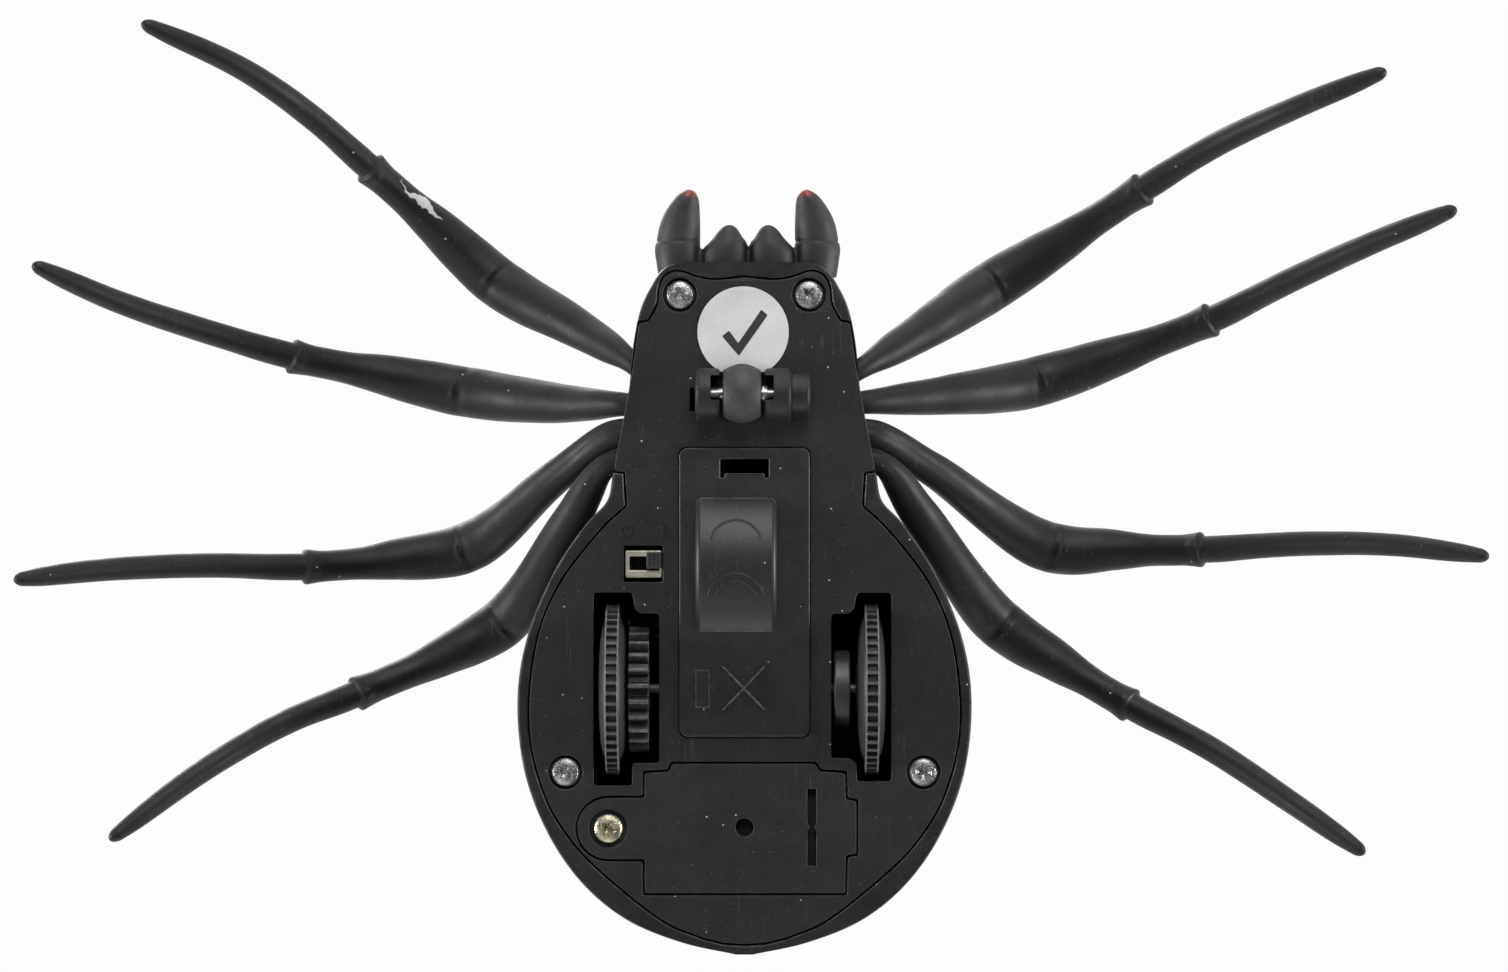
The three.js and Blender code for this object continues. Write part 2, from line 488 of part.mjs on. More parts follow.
function reductionGear() {
  const half = Math.PI / TEETH.pinion;
  const halfDisk = Math.PI / TEETH.reduction;
  const pinion = gearShape(TEETH.pinion, FINAL_MODULE, toWheel + half);
  const disk = gearShape(TEETH.reduction, FIRST_MODULE, toMotor + halfDisk);
  const { x: y, y: z } = reductionAxis;
  return carve([
    gear(pinion, GEAR_X.pinionLow, GEAR_X.diskLow + 0.5, y, z),
    gear(disk, GEAR_X.diskLow, GEAR_X.diskHigh, y, z),
  ], [rodX(-20, 0, y, z, RUNNING_R)]);
}

function motorPinion() {
  const shape = gearShape(TEETH.motor, FIRST_MODULE, toMotor + Math.PI, MOTOR.shaftR + 0.15);
  return gear(shape, -12.3, -9.3, MOTOR.y, MOTOR.z);
}

// Lens-shaped wheel disc with a hub, and the ring of its tyre.
const DISC_R = 11.25;
const TYRE = { innerR: 11.4, halfWidth: 1.05, bevel: 0.2 };

function wheelDisc(x, boreR) {
  const profile = [at(boreR, x - 2.1), at(3.6, x - 2.1), at(4.4, x - 1.75), at(9.4, x - 1.35), at(DISC_R, x - 0.95),
    at(DISC_R, x + 0.95), at(9.4, x + 1.35), at(4.4, x + 1.75), at(3.6, x + 2.1), at(boreR, x + 2.1),
    at(boreR, x - 2.1)];
  return turnedX(profile, AXLE.y, AXLE.z, 30);
}

function tyre(x) {
  const { innerR, halfWidth, bevel } = TYRE;
  return turnedX([at(innerR, x - halfWidth), at(WHEEL_R - bevel, x - halfWidth), at(WHEEL_R, x - halfWidth + bevel),
    at(WHEEL_R, x + halfWidth - bevel), at(WHEEL_R - bevel, x + halfWidth), at(innerR, x + halfWidth),
    at(innerR, x - halfWidth)], AXLE.y, AXLE.z, 48);
}

function axleCollar() {
  const { low, high, r } = COLLAR;
  return turnedX([at(FIXED_R, low), at(r, low), at(r, high), at(FIXED_R, high), at(FIXED_R, low)],
    AXLE.y, AXLE.z);
}

function noseRoller() {
  const { x, r, halfWidth, y, pinR } = ROLLER;
  const boreR = pinR + 0.25;
  return turnedX([at(boreR, -halfWidth), at(r - 0.75, -halfWidth), at(r - 0.25, -halfWidth + 0.5),
    at(r, -halfWidth + 1.3), at(r, halfWidth - 1.3), at(r - 0.25, halfWidth - 0.5), at(r - 0.75, halfWidth),
    at(boreR, halfWidth), at(boreR, -halfWidth)], y, r).translate(x, 0, 0);
}

// ---------------------------------------------------------------- motor, gearbox frame and electronics
function motor() {
  const { r, low, high, shaftR, y, z } = MOTOR;
  return turnedX([at(0, low + 1), at(shaftR + GAP, low + 1), at(shaftR + GAP, low - 0.9), at(3, low - 0.9),
    at(3, low), at(r - 0.6, low), at(r, low + 0.6), at(r, high - 0.5), at(r - 0.5, high), at(0, high)], y, z);
}

const FRAME = { rightLow: -8.6, rightHigh: -7.2, leftLow: 6, leftHigh: 7.4, front: 3, rear: 34.5,
  under: PLATE_HIGH + GAP, top: 26.8, roof: 1.2, footX: 11.8, footHeight: 1.1, waistY: 7.5, waistTop: 19.5 };

function gearboxFrame() {
  const f = FRAME;
  const kept = [
    box(f.rightLow, f.rightHigh, f.front, f.rear, f.under, f.top),
    box(f.leftLow, f.leftHigh, f.front, f.rear, f.under, f.top),
    box(f.rightLow, f.leftHigh, f.front, f.rear, f.top - f.roof, f.top),
    box(-f.footX, f.rightHigh, 30.5, f.rear, f.under, f.under + f.footHeight),
    box(f.leftLow, f.footX, 30.5, f.rear, f.under, f.under + f.footHeight),
    box(f.leftLow, f.footX, f.front, 7, f.under, f.under + f.footHeight),
  ];
  const removed = [
    box(-20, 20, 0, f.waistY, f.waistTop, 30),
    rodX(-20, 20, AXLE.y, AXLE.z, RUNNING_R),
    rodX(-20, 0, MOTOR.y, MOTOR.z, MOTOR.shaftR + GAP),
    rodX(-20, 0, reductionAxis.x, reductionAxis.y, FIXED_R),
  ];
  return carve(kept, removed);
}

const BOARD = { x: 8.5, low: 10, high: 30, under: 27.1, over: 28.3 };

// A three-millimetre lamp: round dome, body and flange.
function lamp(side) {
  const { r } = LED;
  const body = turnedZ([at(0, -3.2), at(r, -3.2), at(r, 0.2), at(r * 0.85, 0.95), at(r * 0.5, 1.45), at(0, 1.6)],
    0, 0, 16);
  return inBrow(body, side);
}

function irReceiver() {
  const { y, r, low, high } = IR_WINDOW;
  return turnedZ([at(0, low), at(r, low), at(r, high - 1.4), at(r * 0.86, high - 0.6), at(r * 0.5, high - 0.12),
    at(0, high)], 0, y, 20);
}

function cell(index) {
  const low = CELL.low + index * CELL.pitch;
  return turnedX([at(0, low), at(3.9, low), at(4.2, low + 0.35), at(CELL.r - 0.3, low + 0.45), at(CELL.r, low + 0.75),
    at(CELL.r, low + CELL.length), at(0, low + CELL.length)],
  CELL.y, CELL.z, 18);
}

// The conical contact spring at the stack's minus end.
function contactSpring() {
  const turns = 2;
  const points = Array.from({ length: 17 }, (_, i) => {
    const share = i / 16;
    const angle = share * turns * 2 * Math.PI;
    const radius = 3.6 - 1.6 * share;
    return [-13.7 + 0.6 * share, CELL.y + radius * Math.cos(angle), CELL.z + radius * Math.sin(angle)];
  });
  const wire = new THREE.Shape(Array.from({ length: 6 }, (_, i) =>
    at(0.14 * Math.cos(i * Math.PI / 3), 0.14 * Math.sin(i * Math.PI / 3))));
  return new THREE.ExtrudeGeometry(wire, { steps: 32, extrudePath: spline(points), bevelEnabled: false });
}

const WIRE_R = 0.45;
const WIRES = {
  motor_wire_red: [[3.9, 14, 18.5], [4.7, 20, 20], [4.6, 30, 22], [4.4, 36.4, 25.5], [4, 34, 29], [3.6, 28.5, 29]],
  motor_wire_black: [[3.9, 9, 18.5], [4.1, 17, 22], [3.4, 24, 23.6], [2, 30, 23.6], [1.4, 36.6, 25], [1.2, 34.5, 29.4],
    [1.2, 28.5, 29]],
  battery_wire_red: [[9.2, 45, 22.9], [8.2, 41, 25], [7.2, 36, 28.5], [6.6, 28.5, 29]],
  battery_wire_black: [[-13.2, 45, 22.9], [-11.5, 41, 25.4], [-8, 35, 29], [-5, 28.5, 29]],
};

function wire(points) {
  return bent([at(0, 0), at(WIRE_R, 0), ...[0.1, 0.2, 0.3, 0.4, 0.5, 0.6, 0.7, 0.8, 0.9].map((s) => at(WIRE_R, s)),
    at(WIRE_R, 1), at(0, 1)], spline(points), 6);
}

// ---------------------------------------------------------------- switch
function switchCase() {
  const { low, high, front, rear, under, over } = SWITCH;
  return carve([box(low, high, front, rear, under, over)], [box(-16.35, -12, 9.7, 11.8, 0, over - 1.5)]);
}

// The slider's thumb piece at ON, with its stem in the case's slot.
function switchSlider() {
  return carve([box(-13.95, -11.85, 9.05, 11.95, 7.25, 8), box(-13.5, -12.35, 9.95, 11.5, 7.8, 9.8)],
    [-13.3, -12.65].map((x) => box(x, x + 0.25, 8, 13, 0, 7.45)));
}

// ---------------------------------------------------------------- materials
const finish = (color, roughness, metalness = 0) => new THREE.MeshStandardMaterial({ color, roughness, metalness });
const PAINTS = {
  shell: finish(0x17181a, 0.45),
  chassis: finish(0x1c1d1f, 0.6),
  softLeg: finish(0x16171a, 0.38),
  jaw: finish(0x1b1c1d, 0.5),
  wheel: finish(0x2b2d2f, 0.35),
  tyre: finish(0x242628, 0.7),
  gear: finish(0x101113, 0.3),
  roller: finish(0x222426, 0.6),
  steel: finish(0xb9bab8, 0.3, 1),
  brass: finish(0xb8a878, 0.35, 1),
  paper: finish(0xd9d6d6, 0.5),
  board: finish(0x1e5a34, 0.6),
  lamp: finish(0x8a1414, 0.15),
  window: finish(0x18080c, 0.15),
  redWire: finish(0xa01a18, 0.5),
  blackWire: finish(0x151515, 0.5),
};

// ---------------------------------------------------------------- assembly
const spider = new THREE.Group();

function add(name, geometry, paint) {
  const mesh = new THREE.Mesh(geometry, paint);
  mesh.name = name;
  spider.add(mesh);
}

add('bottom_cover', bottomCover(), PAINTS.chassis);
add('upper_shell', upperShell(), PAINTS.shell);
add('centre_cover', centreCover(), PAINTS.chassis);
add('battery_door', batteryDoor(), PAINTS.chassis);
add('jaws', jaws(), PAINTS.jaw);
for (const name of Object.keys(LEGS)) add(name, leg(name), PAINTS.softLeg);

const COVER_SCREW_LOW = PLATE_LOW + 0.05;
shellScrews.forEach((s, i) => add(`cover_screw_${i + 1}`, screw(s.x, s.y, COVER_SCREW_LOW), PAINTS.steel));
add('door_screw', screw(DOOR_SCREW.x, DOOR_SCREW.y, PLATE_LOW - 0.25), PAINTS.brass);
add('check_sticker', carve([rod(STICKER.x, STICKER.y, PLATE_LOW - 0.16, PLATE_LOW - 0.02, STICKER.r, 32)],
  [box(-10, 10, STICKER.cut, 0, 0, 20)]), PAINTS.paper);

add('wheel_right', wheelDisc(WHEEL_RIGHT_X, FIXED_R), PAINTS.wheel);
add('wheel_left', wheelDisc(WHEEL_LEFT_X, RUNNING_R), PAINTS.wheel);
add('tyre_right', tyre(WHEEL_RIGHT_X), PAINTS.tyre);
add('tyre_left', tyre(WHEEL_LEFT_X), PAINTS.tyre);
add('axle', rodX(AXLE.right, AXLE.left, AXLE.y, AXLE.z, AXLE.r), PAINTS.steel);
add('wheel_gear', wheelGear(), PAINTS.gear);
add('axle_collar', axleCollar(), PAINTS.gear);
add('reduction_gear', reductionGear(), PAINTS.gear);
add('gear_pin', rodX(-17, FRAME.rightHigh, reductionAxis.x, reductionAxis.y, AXLE.r), PAINTS.steel);
add('motor_pinion', motorPinion(), PAINTS.brass);
add('motor_shaft', rodX(-12.6, MOTOR.low + 0.7, MOTOR.y, MOTOR.z, MOTOR.shaftR), PAINTS.steel);
add('motor', motor(), PAINTS.steel);
add('gearbox_frame', gearboxFrame(), PAINTS.chassis);
add('nose_roller', noseRoller(), PAINTS.roller);
add('roller_pin', rodX(LUG_PIN.low + 0.1, LUG_PIN.high - 0.1, ROLLER.y, ROLLER.r, ROLLER.pinR), PAINTS.steel);

add('switch_case', switchCase(), PAINTS.brass);
add('switch_slider', switchSlider(), PAINTS.gear);
add('circuit_board', box(-BOARD.x, BOARD.x, BOARD.low, BOARD.high, BOARD.under, BOARD.over), PAINTS.board);
add('ir_receiver', irReceiver(), PAINTS.window);
add('eye_lamp_right', lamp(-1), PAINTS.lamp);
add('eye_lamp_left', lamp(1), PAINTS.lamp);
for (let i = 0; i < 4; i++) add(`button_cell_${i + 1}`, cell(i), PAINTS.steel);
add('contact_plate', box(9.2, 9.5, 44.5, 52.5, 10.8, 19.4), PAINTS.steel);
add('contact_spring', contactSpring(), PAINTS.steel);
for (const [name, points] of Object.entries(WIRES)) {
  add(name, wire(points), name.endsWith('red') ? PAINTS.redWire : PAINTS.blackWire);
}

export default spider;
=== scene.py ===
"""Looks for a remote-controlled toy spider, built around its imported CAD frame.

Shapes are drawn in millimetres in the CAD frame, and become metres when a piece is put in the scene.
The head points along -Y. The camera looks straight up at the underside.
"""
import math

import bmesh
import bpy
import numpy as np
from mathutils import Matrix, Vector


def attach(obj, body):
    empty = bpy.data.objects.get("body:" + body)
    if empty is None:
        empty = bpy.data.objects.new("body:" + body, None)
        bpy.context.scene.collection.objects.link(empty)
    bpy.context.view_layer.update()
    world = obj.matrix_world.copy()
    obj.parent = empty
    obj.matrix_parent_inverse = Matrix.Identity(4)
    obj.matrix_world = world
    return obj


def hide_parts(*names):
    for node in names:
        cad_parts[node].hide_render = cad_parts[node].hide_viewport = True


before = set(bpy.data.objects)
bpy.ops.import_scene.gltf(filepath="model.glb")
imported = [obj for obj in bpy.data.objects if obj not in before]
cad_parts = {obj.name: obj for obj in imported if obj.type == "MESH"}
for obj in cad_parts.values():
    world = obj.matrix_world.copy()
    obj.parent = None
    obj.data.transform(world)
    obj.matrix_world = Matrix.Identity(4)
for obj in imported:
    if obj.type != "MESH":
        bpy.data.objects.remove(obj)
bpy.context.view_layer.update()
MM = 0.001
FULL_TURN = 2 * math.pi

# ---------------------------------------------------------------- driving dimensions
GAP = 0.3
PLATE_LOW = 7.5
PLATE_HIGH = 9.3
BELT = 13
RIM_INSET = 0.15  # 0.6 in the CAD
WALL = 1.6
AXLE_Y = 28.8
AXLE_Z = 12.5
WHEEL_RIGHT_X = -18.8
WHEEL_LEFT_X = 18.1
ROLLER_X = -0.35
ROLLER_Y = -13.4
ROLLER_R = 4.25
MOTOR_Y = 10.9
COVER_SCREWS = [(9.2, -27.5), (-9.2, -27.5), (25.5, 40.5), (-25.5, 40.5)]
DOOR_SCREW = (-19.4, 48.5)
CELL_Y = 48.5
PANEL_X = 9.3
PANEL_ENDS = (-5.7, 35.4)
PANEL_LOW = 7.1
PANEL_HIGH = 8.1
PANEL_GAP = 0.12


# ---------------------------------------------------------------- curves and outlines
def spline(points, steps, power=0.5):
    """Points on a Catmull-Rom curve through the given ones. power 0.5 is centripetal and 0 is uniform."""
    p = np.array(points, float)
    q = np.vstack([2 * p[0] - p[1], p, 2 * p[-1] - p[-2]])
    gaps = np.linalg.norm(np.diff(q, axis=0), axis=1) ** power
    t = np.linspace(0, len(p) - 1, steps + 1)
    i = np.minimum(t.astype(int), len(p) - 2)
    w = (t - i)[:, None]
    before, here, there, after = q[i], q[i + 1], q[i + 2], q[i + 3]
    d0, d1, d2 = gaps[i][:, None], gaps[i + 1][:, None], gaps[i + 2][:, None]
    leaving = ((here - before) / d0 - (there - before) / (d0 + d1)) * d1 + there - here
    arriving = ((after - there) / d2 - (after - here) / (d1 + d2)) * d1 + there - here
    return (here * (1 + 2 * w) * (1 - w) ** 2 + there * w * w * (3 - 2 * w)
            + leaving * w * (1 - w) ** 2 - arriving * w * w * (1 - w))


def smooth_table(table, at):
    """Values of a smooth curve through (place, value) pairs, at the given places."""
    curve = spline(table, 40 * len(table))
    return np.interp(at, curve[:, 0], curve[:, 1])


def hump(value, centre, width):
    return np.exp(-((np.asarray(value) - centre) / width) ** 2)


def circle(x, y, radius, count=48, start=0.0, turn=FULL_TURN):
    """A closed circle, or both ends of an arc and what lies between them."""
    angles = [start + turn * i / count for i in range(count + (turn < FULL_TURN))]
    return [(x + radius * math.cos(a), y + radius * math.sin(a)) for a in angles]


def mirrored(half):
    return [*half, *[(-x, y) for x, y in reversed(half) if x > 0.01]]


def box_outline(x0, x1, y0, y1, corner=0.0, steps=6):
    if corner == 0:
        return [(x0, y0), (x1, y0), (x1, y1), (x0, y1)]
    ring = []
    for quarter, (x, y) in enumerate([(x1 - corner, y1 - corner), (x0 + corner, y1 - corner),
                                      (x0 + corner, y0 + corner), (x1 - corner, y0 + corner)]):
        ring += circle(x, y, corner, steps, quarter * math.pi / 2, math.pi / 2)
    return ring


def grown(ring, distance):
    """A closed outline moved outwards, point by point."""
    p = np.array(ring, float)
    area = np.sum(p[:, 0] * np.roll(p[:, 1], -1) - p[:, 1] * np.roll(p[:, 0], -1))
    if area < 0:
        p = p[::-1]
    entering = p - np.roll(p, 1, axis=0)
    leaving = np.roll(p, -1, axis=0) - p
    entering /= np.linalg.norm(entering, axis=1)[:, None]
    leaving /= np.linalg.norm(leaving, axis=1)[:, None]
    outward = np.stack([entering[:, 1] + leaving[:, 1], -entering[:, 0] - leaving[:, 0]], axis=1)
    outward /= np.linalg.norm(outward, axis=1)[:, None]
    miter = np.maximum(0.6, outward[:, 0] * entering[:, 1] - outward[:, 1] * entering[:, 0])
    return p + outward * (distance / miter)[:, None]


def rounded(ring, radius, steps=4):
    """A closed outline with its sharp corners rounded."""
    p = [np.array(q, float) for q in ring]
    out = []
    for i, corner in enumerate(p):
        back, on = p[i - 1] - corner, p[(i + 1) % len(p)] - corner
        back_length, on_length = np.linalg.norm(back), np.linalg.norm(on)
        if np.dot(back, on) < -0.97 * back_length * on_length:
            out.append(tuple(corner))
            continue
        reach = min(radius, 0.45 * back_length, 0.45 * on_length)
        start = corner + back / back_length * reach
        end = corner + on / on_length * reach
        for k in range(steps + 1):
            w = k / steps
            out.append(tuple(start * (1 - w) ** 2 + corner * 2 * w * (1 - w) + end * w * w))
    return out


# ---------------------------------------------------------------- meshes, in millimetres
def link(obj):
    bpy.context.scene.collection.objects.link(obj)
    return obj


def mesh_of(verts, faces):
    mesh = bpy.data.meshes.new("mesh")
    mesh.from_pydata([tuple(map(float, v)) for v in verts], [], [tuple(map(int, f)) for f in faces])
    return mesh


def outward(mesh):
    """Turns a closed mesh's faces outwards."""
    body = bmesh.new()
    body.from_mesh(mesh)
    inverted = body.calc_volume(signed=True) < 0
    body.free()
    if inverted:
        mesh.flip_normals()
    return mesh


def evaluated(obj):
    bpy.context.view_layer.update()
    return bpy.data.meshes.new_from_object(obj.evaluated_get(bpy.context.evaluated_depsgraph_get()))


def loft(rings):
    """Skins a row of closed rings of equal length, and closes both ends."""
    rings = np.asarray(rings, float)
    rows, count = rings.shape[:2]
    index = np.arange(rows * count).reshape(rows, count)
    after = np.roll(index, -1, axis=1)
    quads = np.stack([index[:-1], after[:-1], after[1:], index[1:]], axis=-1).reshape(-1, 4)
    return outward(mesh_of(rings.reshape(-1, 3), [*quads, index[0][::-1], index[-1]]))


def turned(profile, sides):
    """A body turned about Z: the profile is (radius, z) from the bottom up, with both ends on the axis."""
    angles = np.linspace(0, FULL_TURN, sides, endpoint=False)
    ring = np.stack([np.cos(angles), np.sin(angles), np.zeros(sides)], axis=1)
    return loft([ring * (max(r, 1e-3), max(r, 1e-3), 0) + (0, 0, z) for r, z in profile])


def cylinder(radius, low, high, sides):
    return turned([(0, low), (radius, low), (radius, high), (0, high)], sides)


def tube(profile, sides):
    """A ring turned about Z: the profile is a closed list of (radius, z), anticlockwise."""
    angles = np.linspace(0, FULL_TURN, sides, endpoint=False)
    points = np.array([[(r * math.cos(a), r * math.sin(a), z) for r, z in profile] for a in angles])
    rows, count = points.shape[:2]
    index = np.arange(rows * count).reshape(rows, count)
    beside = np.roll(index, -1, axis=0)
    quads = np.stack([index, beside, np.roll(beside, -1, axis=1), np.roll(index, -1, axis=1)], axis=-1)
    return mesh_of(points.reshape(-1, 3), quads.reshape(-1, 4))


def flat(outline, holes, low, high, bevel=0.0, steps=2):
    """A plate between two heights with the given outline and holes, and rounded edges."""
    curve = bpy.data.curves.new("flat", "CURVE")
    curve.dimensions = "2D"
    curve.fill_mode = "BOTH"
    curve.extrude = (high - low) / 2 - bevel
    curve.bevel_depth = bevel
    curve.bevel_resolution = steps
    curve.offset = -bevel
    for ring in [outline, *holes]:
        path = curve.splines.new("POLY")
        path.points.add(len(ring) - 1)
        for point, (x, y) in zip(path.points, ring):
            point.co = (x, y, 0, 1)
        path.use_cyclic_u = True
    holder = link(bpy.data.objects.new("flat", curve))
    weld = holder.modifiers.new("weld", "WELD")
    weld.merge_threshold = 1e-4
    made = evaluated(holder)
    bpy.data.objects.remove(holder)
    made.transform(Matrix.Translation((0, 0, (low + high) / 2)))
    return made


def moved(mesh, x=0.0, y=0.0, z=0.0):
    mesh.transform(Matrix.Translation((x, y, z)))
    return mesh


# What was drawn in (Y, Z) and raised along Z, stood along X.
ALONG_X = Matrix(((0, 0, 1, 0), (1, 0, 0, 0), (0, 1, 0, 0), (0, 0, 0, 1)))


def along_x(mesh, x=0.0, y=0.0, z=0.0):
    mesh.transform(Matrix.Translation((x, y, z)) @ ALONG_X)
    return mesh


def boolean(mesh, others, operation):
    """One mesh with the others joined to it (UNION) or cut from it (DIFFERENCE), one by one."""
    for other in others:
        base = link(bpy.data.objects.new("base", mesh))
        tool = link(bpy.data.objects.new("tool", other))
        step = base.modifiers.new("step", "BOOLEAN")
        step.operation = operation
        step.solver = "EXACT"
        step.object = tool
        mesh = evaluated(base)
        for old in (base, tool):
            bpy.data.objects.remove(old)
    return mesh


def joined(meshes):
    """Several meshes as one, without a boolean."""
    verts, faces = [], []
    for mesh in meshes:
        first = len(verts)
        verts += [v.co[:] for v in mesh.vertices]
        faces += [[first + i for i in f.vertices] for f in mesh.polygons]
    return mesh_of(verts, faces)


def place(name, mesh, look, body="spider_body", replaces=(), angle=35, even=True):
    """Puts a mesh drawn in millimetres in the scene as a piece of the spider."""
    mesh.transform(Matrix.Scale(MM, 4))
    mesh.name = name
    mesh.materials.clear()
    mesh.materials.append(PAINTS[look])
    mesh.polygons.foreach_set("use_smooth", [True] * len(mesh.polygons))
    mesh.set_sharp_from_angle(angle=math.radians(angle))
    obj = link(bpy.data.objects.new(name, mesh))
    if even:
        obj.modifiers.new("even_normals", "WEIGHTED_NORMAL").keep_sharp = True
    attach(obj, body)
    if replaces:
        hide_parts(*replaces)
    return obj


# ---------------------------------------------------------------- procedural materials
def feed(socket, value):
    """Links a socket to another node's output, or sets its value."""
    if isinstance(value, bpy.types.NodeSocket):
        socket.id_data.links.new(value, socket)
    else:
        socket.default_value = value


def add_node(tree, kind, inputs=None, output=0, **settings):
    """Adds a shader node with the given inputs and settings, and returns one of its outputs."""
    made = tree.nodes.new("ShaderNode" + kind)
    for key, value in settings.items():
        setattr(made, key, value)
    for key, value in (inputs or {}).items():
        feed(made.inputs[key], value)
    return made.outputs[output]


DUST = (0.2, 0.195, 0.18)
PALE_DUST = (0.45, 0.44, 0.42)


class Paint:
    """A procedural material whose nodes read the piece's own place, in millimetres."""

    def __init__(self, name, colour, rough, metallic=0.0, **uniform):
        self.material = bpy.data.materials.new(name)
        self.material.use_nodes = True
        self.tree = self.material.node_tree
        self.shader = self.tree.nodes["Principled BSDF"]
        self.shader.inputs["Metallic"].default_value = metallic
        for socket, value in uniform.items():
            self.shader.inputs[socket.replace("_", " ")].default_value = value
        where = self.add("TexCoord", output="Object")
        self.where = self.add("Mapping", {"Vector": where, "Scale": (1 / MM, 1 / MM, 1 / MM)})
        self.colour = self.add("RGB", output=0)
        self.colour.default_value = (*colour, 1)
        self.rough = rough
        self.heights = []

    def add(self, kind, inputs=None, output=0, **settings):
        return add_node(self.tree, kind, inputs, output, **settings)

    def plus(self, a, b):
        return self.add("Math", {0: a, 1: b}, operation="ADD")

    def minus(self, a, b):
        return self.add("Math", {0: a, 1: b}, operation="SUBTRACT")

    def size_of(self, value):
        return self.add("Math", {0: value}, operation="ABSOLUTE")

    def noise(self, per_mm, detail=3.0, stretch=(1, 1, 1), turn=(0, 0, 0), shift=0.0):
        where = self.add("Mapping", {"Vector": self.where, "Scale": stretch, "Rotation": turn,
                                     "Location": (shift, shift, shift)})
        return self.add("TexNoise", {"Vector": where, "Scale": per_mm, "Detail": detail})

    def cells(self, per_mm, feature):
        return self.add("TexVoronoi", {"Vector": self.where, "Scale": per_mm}, "Distance", feature=feature)

    def ranged(self, value, low, high, to_low=0.0, to_high=1.0):
        return self.add("MapRange", {"Value": value, "From Min": low, "From Max": high,
                                     "To Min": to_low, "To Max": to_high})

    def times(self, a, b):
        return self.add("Math", {0: a, 1: b}, operation="MULTIPLY")

    def tint(self, mask, colour):
        """Paints a colour where the mask is 1."""
        inputs = {"Factor": mask, "A": self.colour, "B": (*colour, 1)}
        self.colour = self.add("Mix", inputs, 2, data_type="RGBA")

    def shade(self, per_mm, amount, **how):
        """Lightens and darkens the colour in soft patches."""
        level = self.ranged(self.noise(per_mm, **how), 0.3, 0.7, 1 - amount, 1 + amount)
        self.colour = self.add("VectorMath", {0: self.colour, "Scale": level}, operation="SCALE")

    def roughen(self, per_mm, amount, **how):
        low, high = self.rough - amount, self.rough + amount
        self.rough = self.ranged(self.noise(per_mm, **how), 0.3, 0.7, low, high)

    def set_rough(self, mask, value):
        self.rough = self.add("Mix", {"Factor": mask, "A": self.rough, "B": value}, 0)

    def at(self, axis):
        """The place along X, Y or Z."""
        return self.add("SeparateXYZ", {0: self.where}, axis)

    def from_axle(self):
        """The distance from the wheels' axle."""
        spot = self.add("VectorMath", {0: self.where, 1: (0, AXLE_Y, AXLE_Z)}, operation="SUBTRACT")
        flat_spot = self.add("VectorMath", {0: spot, 1: (0, 1, 1)}, operation="MULTIPLY")
        return self.add("VectorMath", {0: flat_spot}, "Value", operation="LENGTH")

    def lip(self, low):
        """Paints a highlight on the lower rounded edge of a flat piece: a lighter band there, broken up by
        noise.
        """
        edge = self.times(self.ranged(self.at("Z"), low + 0.015, low + 0.05),
                          self.ranged(self.at("Z"), low + 0.24, low + 0.18))
        self.tint(self.times(edge, self.ranged(self.noise(0.5), 0.35, 0.65, 0.1, 0.9)), (0.08, 0.08, 0.079))

    def lightened(self, amount, colour):
        """Paints a highlight on the edges of a closely meshed piece, lighter where they are sharper."""
        edges = self.ranged(self.add("NewGeometry", output="Pointiness"), 0.51, 0.58, 0, amount)
        self.tint(self.times(edges, self.ranged(self.noise(1.5), 0.35, 0.6, 0.3, 1)), colour)

    def relief(self, height, depth):
        """Adds a bump: height is 0 to 1 and depth is in millimetres."""
        self.heights.append((height, depth))

    def grain(self, per_mm, depth, **how):
        self.relief(self.noise(per_mm, **how), depth)

    def specks(self, per_mm, size, colour, share, seed=0.0):
        """Small round specks of dust or print, scattered at random."""
        where = self.add("Mapping", {"Vector": self.where, "Location": (seed, seed, seed)})
        cell = self.add("TexVoronoi", {"Vector": where, "Scale": per_mm}).node.outputs
        near = self.ranged(cell["Distance"], size, size * 0.6)
        chance = self.add("SeparateColor", {"Color": cell["Color"]})
        picked = self.ranged(chance, 1 - share, 1.001 - share)
        self.tint(self.times(near, picked), colour)

    def dusty(self, share):
        """Dark and pale dust on moulded plastic."""
        self.specks(1.1, 0.075, DUST, share=share)
        self.specks(0.45, 0.07, PALE_DUST, seed=3, share=share)

    def scratches(self, per_mm, turn, colour, strength, seed=0.0):
        """Fine hairlines: the narrow middle band of a stretched noise, broken up by a second one."""
        line = self.noise(per_mm, 1, (1, 0.03, 1), (0, 0, turn), seed)
        band = self.ranged(self.minus(line, 0.5), 0.0, 0.012)
        ridge = self.times(band, self.ranged(band, 1.0, 0.99))
        kept = self.ranged(self.noise(0.09, 2, shift=seed + 5), 0.55, 0.62)
        self.tint(self.times(self.times(ridge, kept), strength), colour)

    def done(self):
        normal = None
        for height, depth in self.heights:
            inputs = {"Height": height, "Distance": depth * MM, "Strength": 1.0}
            if normal is not None:
                inputs["Normal"] = normal
            normal = self.add("Bump", inputs)
        for name, value in [("Base Color", self.colour), ("Roughness", self.rough), ("Normal", normal)]:
            if value is not None:
                feed(self.shader.inputs[name], value)
        return self.material


